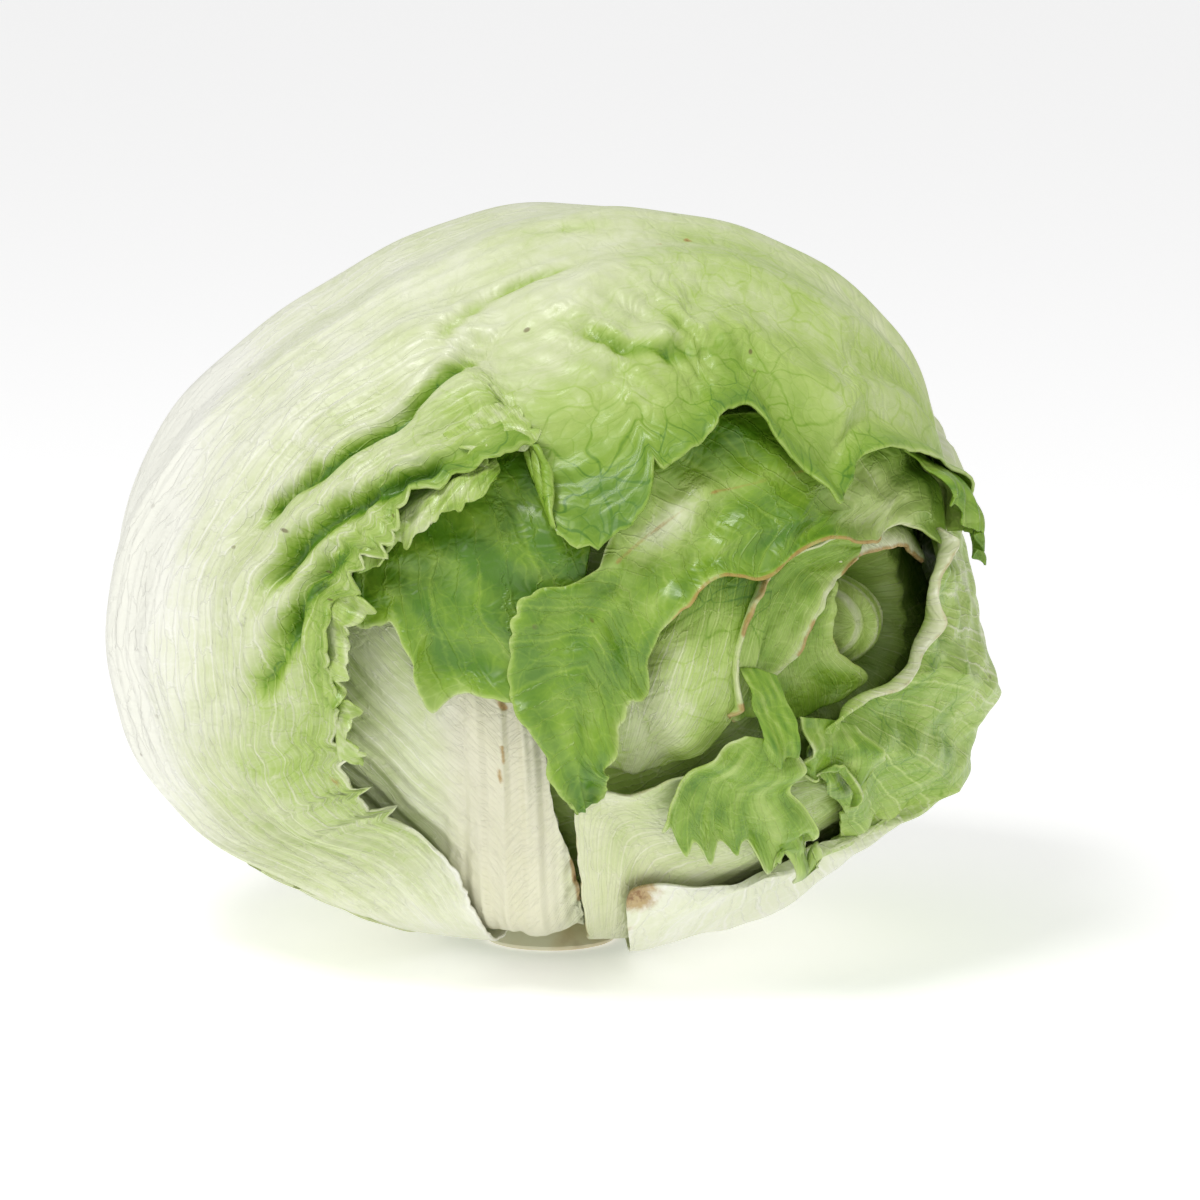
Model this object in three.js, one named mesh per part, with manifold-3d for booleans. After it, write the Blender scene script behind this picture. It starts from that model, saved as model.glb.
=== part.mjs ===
// A head of iceberg lettuce standing on its cut stem: a tight heart with loose leaves wrapped round it.
// Millimetres, +Z up. The head is seen from -Y, with its crown opening low on the right.
import * as THREE from "three";
import { mergeVertices } from "three/addons/utils/BufferGeometryUtils.js";
import Module from "manifold-3d";

const wasm = await Module();
wasm.setup();

const { clamp, degToRad, lerp, smoothstep } = THREE.MathUtils;

// Driving dimensions.
const HALF_WIDTH = 87.5;
const HALF_HEIGHT = 75;
const HALF_DEPTH = 79;
const REST_HEIGHT = 73; // head centre above the surface it stands on
const FRONT_TILT = degToRad(10); // the leaves are drawn as seen from this far above the horizon
const BLADE = 0.9; // leaf thickness
const GAP = 0.8; // air between a leaf and what it lies on
const STEM_RADIUS = 14;
const STEM_HEIGHT = 14;
const SEAT_ROOM = 0.4; // air round the stem in the heart
const FOOT_ANGLE = degToRad(16); // leaf bases stand on a ring this far from the stem's axis
const HEART_DEPTH = -9; // the heart's surface, from the outside of the head
const UNDERSIDE = 75; // the head's outer form is flat this far below its centre
const UNDERSIDE_ROUNDING = 8; // how softly its belly turns into the flat
const CENTRE = new THREE.Vector3(-1.085, 2.03, REST_HEIGHT);

// The drawing's axes: right, up and towards the viewer.
const RIGHT = new THREE.Vector3(1, 0, 0);
const UP = new THREE.Vector3(0, Math.sin(FRONT_TILT), Math.cos(FRONT_TILT));
const NEAR = new THREE.Vector3(0, -Math.cos(FRONT_TILT), Math.sin(FRONT_TILT));

// Directions from the head's centre, as unit vectors on a ball that is stretched to the head's size.

// A place on the head as drawn: x to the right and z up from its centre, on the near side or, with -1, the far side.
function onHead(x, z, side = 1) {
  const across = x / HALF_WIDTH;
  const up = z / HALF_HEIGHT;
  const depth = Math.sqrt(Math.max(0, 1 - across * across - up * up));
  return new THREE.Vector3(across, up, side * depth).normalize();
}

const STEM_WAY = new THREE.Vector3(0, -Math.cos(FRONT_TILT), -Math.sin(FRONT_TILT));
const STEM_FRONT = new THREE.Vector3(0, -Math.sin(FRONT_TILT), Math.cos(FRONT_TILT));

// A leaf's foot beside the stem: bearing 0 is right, 90 front, 180 left and 270 back.
function foot(bearing) {
  const turn = degToRad(bearing);
  const out = new THREE.Vector3(Math.cos(turn), 0, 0).addScaledVector(STEM_FRONT, Math.sin(turn));
  return STEM_WAY.clone().multiplyScalar(Math.cos(FOOT_ANGLE)).addScaledVector(out, Math.sin(FOOT_ANGLE));
}

// A soft round bump, 1 at its middle and 0 past its reach in degrees.
function bump(way, middle, reach) {
  return 1 - smoothstep(way.angleTo(middle), 0, degToRad(reach));
}

// Where the head's outside is fuller or flatter than an egg: [place, reach in degrees, height].
const SWELLS = [
  [onHead(50, 55), 50, 4.5],
  [onHead(85, 14), 30, -8],
  [onHead(84, -30), 30, 5.5],
  [onHead(56, -56), 30, -5],
  [onHead(-54, 52), 48, -9.5],
  [onHead(-87, 5), 30, -1.5],
  [onHead(-80, -28), 38, 3],
  [onHead(20, 40, -1), 60, -4],
  [onHead(-40, -10, -1), 50, 3],
];

function softLeast(a, b, softness) {
  const share = clamp(0.5 + (0.5 * (b - a)) / softness, 0, 1);
  return lerp(b, a, share) - softness * share * (1 - share);
}

// The point, from the head's centre, that lies `height` outside the head's outer form.
function place(way, height) {
  const point = new THREE.Vector3()
    .addScaledVector(RIGHT, way.x * HALF_WIDTH)
    .addScaledVector(UP, way.y * HALF_HEIGHT)
    .addScaledVector(NEAR, way.z * HALF_DEPTH);
  let reach = point.length();
  point.divideScalar(reach);
  for (const [middle, spread, rise] of SWELLS) reach += rise * bump(way, middle, spread);
  if (point.z < 0) reach = softLeast(reach, UNDERSIDE / -point.z, UNDERSIDE_ROUNDING);
  return point.multiplyScalar(reach + height);
}

// The heart.

const CROWN = onHead(64, -9); // middle of the opening at the crown
const CROWN_BALL = onHead(62, -9);
const OPENING = 13; // degrees from its middle to its rim
const OPENING_DEPTH = 17;
const BALL_REACH = 10.5;
const BALL_HEIGHT = 12.5;

// Height of the heart's surface: a hollow at the crown with the innermost ball in it.
function heartHeight(way) {
  const rim = 1 - smoothstep(way.angleTo(CROWN), degToRad(OPENING - 4), degToRad(OPENING + 4));
  const ball = Math.sqrt(Math.max(0, 1 - (way.angleTo(CROWN_BALL) / degToRad(BALL_REACH)) ** 2));
  return HEART_DEPTH - OPENING_DEPTH * rim + BALL_HEIGHT * ball;
}

function geometryOf(points, faces) {
  const flat = new Float32Array(points.flatMap((p) => [p.x, p.y, p.z]));
  return new THREE.BufferGeometry().setAttribute("position", new THREE.BufferAttribute(flat, 3)).setIndex(faces);
}

// The heart is a ball of rings about the crown, closest together where the opening is.
function heartGeometry() {
  const rings = [3, 6, 8, 10, 12, 14, 16.5, 20, 27, 37, 50, 65, 82, 98, 108, 118, 130, 145, 162];
  const sectors = 26;
  const sideways = new THREE.Vector3(0, 1, 0).cross(CROWN).normalize();
  const upward = CROWN.clone().cross(sideways);
  const points = [place(CROWN, heartHeight(CROWN))];
  for (const ring of rings) {
    for (let s = 0; s < sectors; s++) {
      const turn = (2 * Math.PI * s) / sectors;
      const way = CROWN.clone()
        .multiplyScalar(Math.cos(degToRad(ring)))
        .addScaledVector(sideways, Math.sin(degToRad(ring)) * Math.cos(turn))
        .addScaledVector(upward, Math.sin(degToRad(ring)) * Math.sin(turn));
      points.push(place(way, heartHeight(way)));
    }
  }
  const last = points.length;
  points.push(place(CROWN.clone().negate(), HEART_DEPTH));
  const at = (ring, s) => 1 + ring * sectors + (s % sectors);
  const faces = [];
  for (let s = 0; s < sectors; s++) {
    faces.push(0, at(0, s), at(0, s + 1));
    for (let ring = 0; ring < rings.length - 1; ring++) {
      faces.push(at(ring, s), at(ring + 1, s), at(ring + 1, s + 1));
      faces.push(at(ring, s), at(ring + 1, s + 1), at(ring, s + 1));
    }
    faces.push(at(rings.length - 1, s), last, at(rings.length - 1, s + 1));
  }
  return geometryOf(points, faces);
}

// The stem, cut flat: the face that the head stands on. `room` is added all round for its seat in the heart.
function stemGeometry(room = 0) {
  const profile = [
    [0, -room],
    [STEM_RADIUS - 1 + room, -room],
    [STEM_RADIUS + room, 1],
    [STEM_RADIUS - 2 + room, 5],
    [STEM_RADIUS - 7 + room, STEM_HEIGHT + room],
    [0, STEM_HEIGHT + room],
  ].map(([radius, height]) => new THREE.Vector2(radius, height));
  return new THREE.LatheGeometry(profile, 28);
}

// The leaves, from the heart outwards. Each is drawn by its left margin, rib and right margin, from foot to tip.
// A key is [u, x, z], [u, x, z, -1] on the far side, or [0, foot]. `level` is how far a loose leaf stands out,
// and `gap` the least air under it.
// `ridge` is the stalk's [height, half-width, share of the length that it fades over], `ribs` the [count, height]
// of the ridges along the blade, `wave` the margin's [waves, height] and `teeth` its [count, depth].
// `flare` lifts the free margins, `cut` notches the free end, and `folds` are creases from one place to another,
// each with its width in degrees and its height.

const FRESH = { colour: 0x9cba5c, roughness: 0.5 };
const PALE = { colour: 0xd9dfb9, roughness: 0.5 };
const WHITE = { colour: 0xe4e6cf, roughness: 0.45 };

const LEAVES = [
  {
    name: "leaf_crown_top",
    look: FRESH,
    cells: [12, 6],
    left: [[0, 54, 1], [0.4, 65, 5.5], [0.75, 72, 6], [1, 76, 3.5]],
    rib: [[0, 53, 6], [0.5, 66, 11], [1, 79, 9]],
    right: [[0, 50, 12], [0.5, 64, 18], [1, 80, 16]],
    level: -6.5,
    flare: 3,
    wave: [2, 0.6],
  },
  {
    name: "leaf_crown_left",
    look: FRESH,
    cells: [14, 8],
    left: [[0, 44, -31], [0.5, 42, -14], [1, 52, 2]],
    rib: [[0, 53, -28], [0.5, 50, -13], [1, 54, 1]],
    right: [[0, 61, -23], [0.15, 63.5, -19.5], [0.35, 59, -15], [0.6, 57, -10], [0.8, 56, -4], [1, 57, -1]],
    level: -6.5,
    flare: 2,
    wave: [1.5, 0.5],
  },
  {
    name: "leaf_crown_fold",
    look: FRESH,
    cells: [18, 8],
    left: [
      [0, 36, -28], [0.08, 33.5, -26], [0.3, 33, -16], [0.5, 35.5, -8.5], [0.7, 42, 0.5], [0.9, 52, 7], [1, 60, 7],
    ],
    rib: [[0, 39, -27], [0.3, 40, -17], [0.5, 43, -8], [0.75, 48, 1], [1, 60, 5.5]],
    right: [
      [0, 42, -27], [0.15, 43, -20], [0.3, 47, -17], [0.45, 50, -14], [0.55, 51, -10], [0.75, 53, -4], [1, 60, 4],
    ],
    level: -4.5,
    flare: 2.5,
    wave: [3, 0.8],
  },
  {
    name: "leaf_back",
    look: PALE,
    cells: [22, 14],
    left: [[0, foot(229)], [0.3, -35, -45, -1], [0.6, -42, 0, -1], [1, -12, 50, -1]],
    rib: [[0, foot(272)], [0.3, 12, -45, -1], [0.6, 22, -5, -1], [1, 32, 44, -1]],
    right: [[0, foot(310)], [0.3, 55, -48, -1], [0.6, 77, -5, -1], [1, 70, 36, -1]],
    level: -2,
    ridge: [4, 13, 0.7],
    ribs: [5, 1.6],
    wave: [5, 1],
  },
  {
    name: "leaf_pale",
    look: PALE,
    cells: [10, 8],
    left: [[0, 11, -39], [0.5, 14, -20], [1, 24, 4]],
    rib: [[0, 18, -41], [0.5, 27, -18], [1, 33, 6]],
    right: [[0, 25, -39], [0.3, 36, -27], [0.6, 42, -10], [1, 44, 6]],
    wave: [1, 0.4],
  },
  {
    name: "leaf_stalk",
    look: WHITE,
    cells: [20, 14],
    left: [[0, foot(140)], [0.2, -34, -58], [0.4, -43, -43], [0.6, -48, -28], [0.8, -48, -12], [1, -38, 2]],
    rib: [[0, foot(105)], [0.25, -8, -56], [0.5, -8.5, -38], [0.75, -10, -18], [1, -13, 6]],
    right: [[0, foot(72)], [0.2, 6, -60], [0.4, 1.5, -45], [0.6, -0.5, -32], [0.8, -1, -18], [1, -1, 4]],
    level: -6.5,
    ridge: [5, 13, 0.75],
    ribs: [4, 0.5],
  },
  {
    name: "leaf_lower_right",
    look: PALE,
    cells: [22, 12],
    left: [
      [0, foot(70)], [0.15, 6, -56], [0.28, 5, -43], [0.36, 8, -40], [0.47, 16, -41],
      [0.58, 24, -39], [0.75, 38, -36], [0.9, 52, -36], [1, 62, -36],
    ],
    rib: [[0, foot(52)], [0.25, 25, -62], [0.5, 41, -55], [0.75, 57, -47], [1, 70, -39]],
    right: [[0, foot(30)], [0.25, 38, -67], [0.5, 54, -59], [0.75, 67, -50], [1, 76, -42]],
    level: -3,
    ridge: [1.2, 11, 0.8],
    ribs: [4, 0.5],
    flare: 0.5,
    wave: [3, 0.3],
  },
  {
    name: "leaf_right",
    look: PALE,
    cells: [30, 15],
    left: [
      [0, foot(50)], [0.07, 15, -63.5], [0.13, 17, -58.5], [0.24, 31, -58], [0.34, 49, -57], [0.41, 59, -53],
      [0.47, 57, -45], [0.52, 51.5, -38], [0.58, 49, -31], [0.66, 57, -23], [0.75, 66, -17], [0.83, 70, -11],
      [0.91, 71.5, -4], [1, 76, 3],
    ],
    rib: [[0, foot(2)], [0.25, 58, -55], [0.5, 77, -35], [0.75, 85, -14], [1, 86, 7]],
    right: [[0, foot(318)], [0.25, 44, -52, -1], [0.5, 58, -28, -1], [0.75, 64, 0, -1], [1, 64, 26, -1]],
    level: -2.2,
    gap: 1.8,
    ridge: [3, 10, 0.6],
    ribs: [5, 1.6],
    flare: 2,
    wave: [6, 1.2],
    teeth: [9, 0.03],
  },
  {
    name: "leaf_middle",
    look: FRESH,
    cells: [24, 10],
    left: [
      [0, -38.5, -2.5], [0.1, -36, -9], [0.22, -30, -8.5], [0.3, -27.5, -12.5], [0.4, -25, -16], [0.46, -24.5, -20],
      [0.54, -21.5, -25], [0.6, -17.5, -22.5], [0.75, -7, -23], [0.85, -3, -25], [1, 3, -28],
    ],
    rib: [[0, -37, 4], [0.5, -16, 5], [1, 8, 3]],
    right: [[0, -35, 10], [0.3, -26, 22], [0.6, -8, 34], [1, 14, 36]],
    level: -5.5,
    flare: 2,
    ribs: [4, 0.7],
    wave: [5, 1.1],
  },
  {
    name: "leaf_long",
    look: FRESH,
    cells: [38, 9],
    left: [
      [0, 78, 7], [0.06, 77, 16], [0.12, 73, 22], [0.22, 62, 22.5], [0.36, 45, 19], [0.48, 30, 16], [0.56, 19, 8],
      [0.61, 14, 3], [0.66, 6, 0], [0.71, -1, -2], [0.75, -4.5, -5], [0.8, -6, -12], [0.86, -7, -22],
      [0.91, -3, -28], [0.96, 1, -36], [1, 4.5, -42],
    ],
    rib: [
      [0, 77, 7], [0.1, 70, 16], [0.2, 61, 14], [0.35, 43, 10], [0.5, 26, 4], [0.65, 12, -6], [0.8, 7, -18],
      [0.9, 5, -29], [1, 7, -41.5],
    ],
    right: [
      [0, 76, 6.5], [0.1, 67, 10.5], [0.18, 60, 6.5], [0.28, 50, 7], [0.4, 39, 0], [0.47, 32.5, 0.5],
      [0.53, 28, -2.5], [0.6, 23, -8.5], [0.68, 20, -14.5], [0.75, 19, -22], [0.82, 15, -25], [0.9, 11, -34.5],
      [0.95, 12, -37], [1, 10, -40.5],
    ],
    level: -3.5,
    flare: 1.5,
    ribs: [2.5, 0.6],
    wave: [6, 0.7],
  },
  {
    name: "leaf_hanging_small",
    look: FRESH,
    cells: [8, 6],
    left: [[0, 46, -25], [1, 45, -40]],
    rib: [[0, 52, -26], [1, 50, -42]],
    right: [[0, 57, -27], [0.6, 60, -34], [1, 55, -42]],
    level: -3,
    flare: 2,
    wave: [2, 0.8],
    teeth: [3, 0.08],
    cut: [2, 0.1],
  },
  {
    name: "leaf_hanging",
    look: FRESH,
    cells: [12, 12],
    left: [[0, 36, -28.5], [0.25, 30, -32], [0.5, 26, -37], [0.75, 22, -42], [1, 20, -47]],
    rib: [[0, 39, -28.5], [0.5, 35, -42], [1, 37, -56]],
    right: [[0, 42, -28], [0.25, 44, -32], [0.5, 43.5, -38], [0.7, 47, -41], [0.85, 48.5, -46], [1, 49, -57]],
    level: -2,
    flare: 2.5,
    wave: [3, 0.8],
    cut: [3, 0.12],
  },
  {
    name: "leaf_wrapper",
    look: PALE,
    cells: [58, 20],
    left: [
      [0, foot(112)], [0.08, -16, -60], [0.14, -23.5, -48.5], [0.18, -34, -43], [0.22, -37.5, -37], [0.255, -40, -31],
      [0.285, -40.5, -24], [0.31, -44, -20], [0.345, -46, -12], [0.385, -44.5, -3], [0.42, -38, -1], [0.45, -33.5, 4],
      [0.475, -32, 9], [0.52, -24, 13], [0.56, -14, 18], [0.59, -4, 25], [0.61, 0.5, 20], [0.63, 1, 13],
      [0.65, 3, 6], [0.67, 11, 7], [0.69, 18, 14], [0.71, 22, 20], [0.74, 29, 26], [0.765, 31, 29],
      [0.79, 36, 30.5], [0.82, 41, 24], [0.845, 47, 18], [0.86, 50.5, 13], [0.875, 54.5, 20],
      [0.895, 59, 23], [0.93, 70, 23.5], [0.95, 74.5, 28], [0.97, 78, 20], [1, 82, 10],
    ],
    rib: [
      [0, foot(165)], [0.11, -45, -60], [0.2, -68, -45], [0.29, -80, -20], [0.37, -82, 5], [0.45, -72, 30],
      [0.54, -52, 52], [0.65, -18, 66], [0.75, 15, 70], [0.85, 45, 62], [0.94, 70, 42], [1, 86, 12],
    ],
    right: [
      [0, foot(226)], [0.15, -34, -55, -1], [0.3, -48, -28, -1], [0.45, -42, 6, -1], [0.6, -20, 35, -1],
      [0.75, 10, 46, -1], [0.9, 50, 36, -1], [1, 84, 10, -1],
    ],
    level: -2.6,
    ridge: [2.5, 16, 0.8],
    ribs: [6, 2],
    folds: [
      [[-57, 14], [-33, 33], 5, -3],
      [[-33, 33], [-10, 50], 5, -3],
      [[-50, 2], [-22, 20], 5, -2],
      [[-74, -14], [-46, -46], 7, 2.5],
      [[-10, 58], [12, 63], 5, -1.5],
    ],
    flare: 1.6,
    wave: [14, 1.1],
    teeth: [30, 0.02],
  },
  {
    name: "leaf_base_left",
    look: PALE,
    cells: [12, 8],
    left: [[0, foot(150)], [0.4, -36, -67], [0.7, -49, -61], [1, -60, -54]],
    rib: [[0, foot(178)], [0.5, -44, -64], [1, -58, -55]],
    right: [[0, foot(215)], [0.5, -37, -60, -1], [1, -54, -50, -1]],
    wave: [2, 0.5],
  },
];

// A smooth curve through keyed places on the head.
function curveThrough(keys) {
  const stops = keys.map(([u, ...at]) => ({ u, way: at[0].isVector3 ? at[0] : onHead(...at) }));
  const slopes = stops.map((stop, i) => {
    const before = stops[Math.max(i - 1, 0)];
    const after = stops[Math.min(i + 1, stops.length - 1)];
    return after.way.clone().sub(before.way).divideScalar(after.u - before.u);
  });
  return (u) => {
    const next = clamp(stops.findIndex((stop) => stop.u >= u), 1, stops.length - 1);
    const [a, b] = [stops[next - 1], stops[next]];
    const span = b.u - a.u;
    const t = (u - a.u) / span;
    const blend = t * t * (3 - 2 * t);
    return new THREE.Vector3()
      .addScaledVector(a.way, 1 - blend)
      .addScaledVector(b.way, blend)
      .addScaledVector(slopes[next - 1], span * t * (1 - t) * (1 - t))
      .addScaledVector(slopes[next], span * t * t * (t - 1))
      .normalize();
  };
}

// The point a share of the way along the arc from one direction to another, or a little past it.
function alongArc(from, to, share) {
  const angle = from.angleTo(to);
  if (angle < 1e-6) return from.clone();
  return from
    .clone()
    .multiplyScalar(Math.sin((1 - share) * angle))
    .addScaledVector(to, Math.sin(share * angle))
    .normalize();
}

// The angle from a direction to the nearest point of an arc.
function toArc(way, from, to) {
  const chord = to.clone().sub(from);
  const share = clamp(way.clone().sub(from).dot(chord) / chord.lengthSq(), 0, 1);
  return way.angleTo(alongArc(from, to, share));
}

// A wave with round crests, from -1 to 1, that doesn't repeat evenly.
function unevenWave(turns) {
  return 0.65 * Math.sin(2 * Math.PI * turns) + 0.35 * Math.sin(2 * Math.PI * (1.7 * turns + 0.3));
}

// Gives a leaf its curves and the fields that the pile needs.
function draw(leaf) {
  const [left, rib, right] = [leaf.left, leaf.rib, leaf.right].map(curveThrough);
  const [teeth, toothDepth] = leaf.teeth ?? [0, 0];
  const [cuts, cutDepth] = leaf.cut ?? [0, 0];
  // Direction at u along the leaf and v across it, from -1 at the left margin to 1 at the right.
  leaf.way = (u, v) => {
    const notch = cutDepth * u ** 6 * (0.5 + 0.5 * Math.cos(2 * Math.PI * cuts * v));
    const along = u * (1 - notch);
    const reach = Math.abs(v) * (1 + toothDepth * v ** 8 * unevenWave(teeth * u));
    return alongArc(rib(along), v < 0 ? left(along) : right(along), reach);
  };
  const girth = (HALF_WIDTH + HALF_HEIGHT + HALF_DEPTH) / 3;
  leaf.halfWidth = (u, v) => girth * rib(u).angleTo(v < 0 ? left(u) : right(u));
  leaf.length = girth * [0.25, 0.5, 0.75, 1].reduce((sum, u) => sum + rib(u).angleTo(rib(u - 0.25)), 0);
  leaf.rise = (u, v) => {
    const [ridge, width, fade] = leaf.ridge ?? [0, 1, 1];
    const aside = (Math.abs(v) * leaf.halfWidth(u, v)) / width;
    const stalk = ridge * Math.exp(-aside * aside) * smoothstep(u, -0.05, 0.2) * (1 - smoothstep(u, 0.2, fade));
    const [count, height] = leaf.ribs ?? [0, 0];
    const ribs = height * (0.5 + 0.5 * Math.cos(Math.PI * count * v)) * smoothstep(u, 0.02, 0.2);
    const way = leaf.way(u, v);
    const folds = (leaf.folds ?? []).reduce((sum, [from, to, width, rise]) => {
      const away = toArc(way, onHead(...from), onHead(...to)) / degToRad(width);
      return sum + rise * Math.exp(-away * away);
    }, 0);
    return stalk + ribs + folds;
  };
  // Places spread over the leaf, no further apart than the pile's reach.
  leaf.samples = [];
  const rows = Math.ceil(leaf.length / 4.5);
  for (let i = 0; i <= rows; i++) {
    const u = i / rows;
    const columns = Math.ceil((leaf.halfWidth(u, -1) + leaf.halfWidth(u, 1)) / 4.5);
    for (let j = 0; j <= columns; j++) {
      const v = (2 * j) / columns - 1;
      leaf.samples.push({ way: leaf.way(u, v), rise: leaf.rise(u, v) });
    }
  }
  return leaf;
}

const COVER_FULL = Math.cos(degToRad(4.5));
const COVER_NONE = Math.cos(degToRad(11));
const RISE_SPREAD = 1e-3; // how far a leaf's relief blends, in 1 - cosine

// How far a leaf covers a direction, from 0 to 1, and how high it rises there above what it lies on.
function coverOf(leaf, way) {
  let nearest = -1;
  let weights = 0;
  let rises = 0;
  for (const sample of leaf.samples) {
    const closeness = sample.way.dot(way);
    if (closeness > nearest) nearest = closeness;
    if (closeness < COVER_NONE) continue;
    const weight = Math.exp((closeness - 1) / RISE_SPREAD);
    weights += weight;
    rises += weight * sample.rise;
  }
  return { cover: smoothstep(nearest, COVER_NONE, COVER_FULL), rise: weights > 0 ? rises / weights : 0 };
}

// Height of a leaf's inner face over what it lies on: loose leaves lift off it to their level, away from the stem.
function innerHeight(leaf, below, way) {
  const gap = leaf.gap ?? GAP;
  const lift = (leaf.level ?? -20) - below - gap;
  const air = 0.5 * (lift + Math.hypot(lift, 1));
  return below + gap + air * smoothstep(way.angleTo(STEM_WAY), degToRad(12), degToRad(26));
}

// Height of the top of the heart and the first leaves of the list.
function pileHeight(under, way) {
  return under.reduce((below, leaf) => {
    const { cover, rise } = coverOf(leaf, way);
    return lerp(below, innerHeight(leaf, below, way) + rise + BLADE, cover);
  }, heartHeight(way));
}

// A leaf as a closed blade: its outer and inner faces share one grid, so they stay a leaf's thickness apart.
function bladeGeometry(leaf, under, over) {
  const [rows, columns] = leaf.cells;
  const [waves, waveHeight] = leaf.wave ?? [0, 0];
  const outer = [];
  const inner = [];
  for (let i = 0; i <= rows; i++) {
    for (let j = 0; j <= columns; j++) {
      const u = i / rows;
      const spread = (2 * j) / columns - 1;
      const v = Math.sign(spread) * (1 - (1 - Math.abs(spread)) ** 1.25);
      const way = leaf.way(u, v);
      const free = over.reduce((share, other) => share * (1 - coverOf(other, way).cover), 1);
      const toMargin = (1 - Math.abs(v)) * leaf.halfWidth(u, v);
      const toEnd = (1 - u) * leaf.length;
      const margin = Math.exp(-((Math.min(toMargin, toEnd) / 7) ** 2)) * smoothstep(u, 0.05, 0.2) * free;
      const turns = waves * (u + 0.35 * v);
      const frill = margin * ((leaf.flare ?? 0) + waveHeight * (1 + unevenWave(turns)));
      const height = innerHeight(leaf, pileHeight(under, way), way) + leaf.rise(u, v) + frill;
      outer.push(place(way, height + BLADE));
      inner.push(place(way, height));
    }
  }
  const at = (i, j) => i * (columns + 1) + j;
  const faces = [];
  const quad = (a, b, c, d) => faces.push(a, b, c, a, c, d);
  const under0 = outer.length;
  for (let i = 0; i < rows; i++) {
    for (let j = 0; j < columns; j++) {
      const corners = [at(i, j), at(i + 1, j), at(i + 1, j + 1), at(i, j + 1)];
      quad(...corners);
      const [a, b, c, d] = corners.map((corner) => corner + under0);
      faces.push(a, c, b, a, d, c);
    }
  }
  const wall = (a, b) => quad(a, a + under0, b + under0, b);
  for (let i = 0; i < rows; i++) {
    wall(at(i, 0), at(i + 1, 0));
    wall(at(i + 1, columns), at(i, columns));
  }
  for (let j = 0; j < columns; j++) {
    wall(at(rows, j), at(rows, j + 1));
    wall(at(0, j + 1), at(0, j));
  }
  return facingOut(geometryOf([...outer, ...inner], faces));
}

// Turns a closed geometry's faces round if they point inwards.
function facingOut(geometry) {
  const p = geometry.attributes.position;
  const order = geometry.index.array;
  const [a, b, c] = [new THREE.Vector3(), new THREE.Vector3(), new THREE.Vector3()];
  let volume = 0;
  for (let i = 0; i < order.length; i += 3) {
    a.fromBufferAttribute(p, order[i]);
    b.fromBufferAttribute(p, order[i + 1]);
    c.fromBufferAttribute(p, order[i + 2]);
    volume += a.dot(b.cross(c));
  }
  if (volume < 0) for (let i = 0; i < order.length; i += 3) [order[i], order[i + 1]] = [order[i + 1], order[i]];
  return geometry;
}

function solidOf(geometry) {
  const bare = geometry.clone().deleteAttribute("normal").deleteAttribute("uv");
  const { attributes, index } = mergeVertices(bare);
  const vertProperties = attributes.position.array;
  return new wasm.Manifold(new wasm.Mesh({ numProp: 3, vertProperties, triVerts: new Uint32Array(index.array) }));
}

function geometryFrom(solid) {
  const mesh = solid.getMesh();
  return new THREE.BufferGeometry()
    .setAttribute("position", new THREE.BufferAttribute(mesh.vertProperties, 3))
    .setIndex(new THREE.BufferAttribute(mesh.triVerts, 1));
}

function named(name, geometry, { colour, roughness }) {
  const mesh = new THREE.Mesh(geometry, new THREE.MeshStandardMaterial({ color: colour, roughness, metalness: 0 }));
  mesh.name = name;
  return mesh;
}

const head = new THREE.Group();
head.position.copy(CENTRE);

const stem = named("stem", stemGeometry(), WHITE);
stem.position.z = -REST_HEIGHT;
stem.rotation.x = Math.PI / 2;
stem.updateMatrix();
head.add(stem);

const seat = solidOf(stemGeometry(SEAT_ROOM).applyMatrix4(stem.matrix));
head.add(named("heart", geometryFrom(solidOf(heartGeometry()).subtract(seat)), FRESH));

LEAVES.forEach(draw);
LEAVES.forEach((leaf, order) => {
  const geometry = bladeGeometry(leaf, LEAVES.slice(0, order), LEAVES.slice(order + 1));
  head.add(named(leaf.name, geometry, leaf.look));
});

export default head;
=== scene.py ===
import math

import bpy
import numpy as np
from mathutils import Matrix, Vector


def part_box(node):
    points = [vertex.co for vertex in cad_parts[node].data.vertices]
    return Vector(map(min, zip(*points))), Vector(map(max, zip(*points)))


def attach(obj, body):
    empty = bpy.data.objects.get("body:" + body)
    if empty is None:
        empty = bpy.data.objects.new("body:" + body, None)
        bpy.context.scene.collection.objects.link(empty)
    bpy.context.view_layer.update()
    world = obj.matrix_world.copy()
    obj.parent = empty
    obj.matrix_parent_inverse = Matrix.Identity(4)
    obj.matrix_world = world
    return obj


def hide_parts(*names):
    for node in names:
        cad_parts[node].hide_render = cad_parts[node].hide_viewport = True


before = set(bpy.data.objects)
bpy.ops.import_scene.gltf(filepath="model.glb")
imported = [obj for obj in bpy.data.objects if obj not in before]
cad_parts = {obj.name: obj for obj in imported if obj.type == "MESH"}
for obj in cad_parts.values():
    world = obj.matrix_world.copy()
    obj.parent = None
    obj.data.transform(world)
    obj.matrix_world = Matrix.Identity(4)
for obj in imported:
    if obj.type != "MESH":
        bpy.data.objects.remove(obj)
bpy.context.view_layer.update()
bpy.context.scene.view_settings.view_transform = "Standard"


# Stem: the stump left where the head was cut from its root, solid cream flesh that browns as it dries.
# The knife leaves a flat face, which the head stands on; the leaves grow out of its sides.

stem_low, stem_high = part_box("stem")
STEM_RADIUS = (stem_high.x - stem_low.x) / 2
STEM_AXIS = ((stem_low.x + stem_high.x) / 2, (stem_low.y + stem_high.y) / 2)
STEM_STEPS = [(1.077, 0.0010), (0.86, 0.0040), (0.72, 0.0045), (0.80, 0.0040)]  # width kept, and rise

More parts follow.
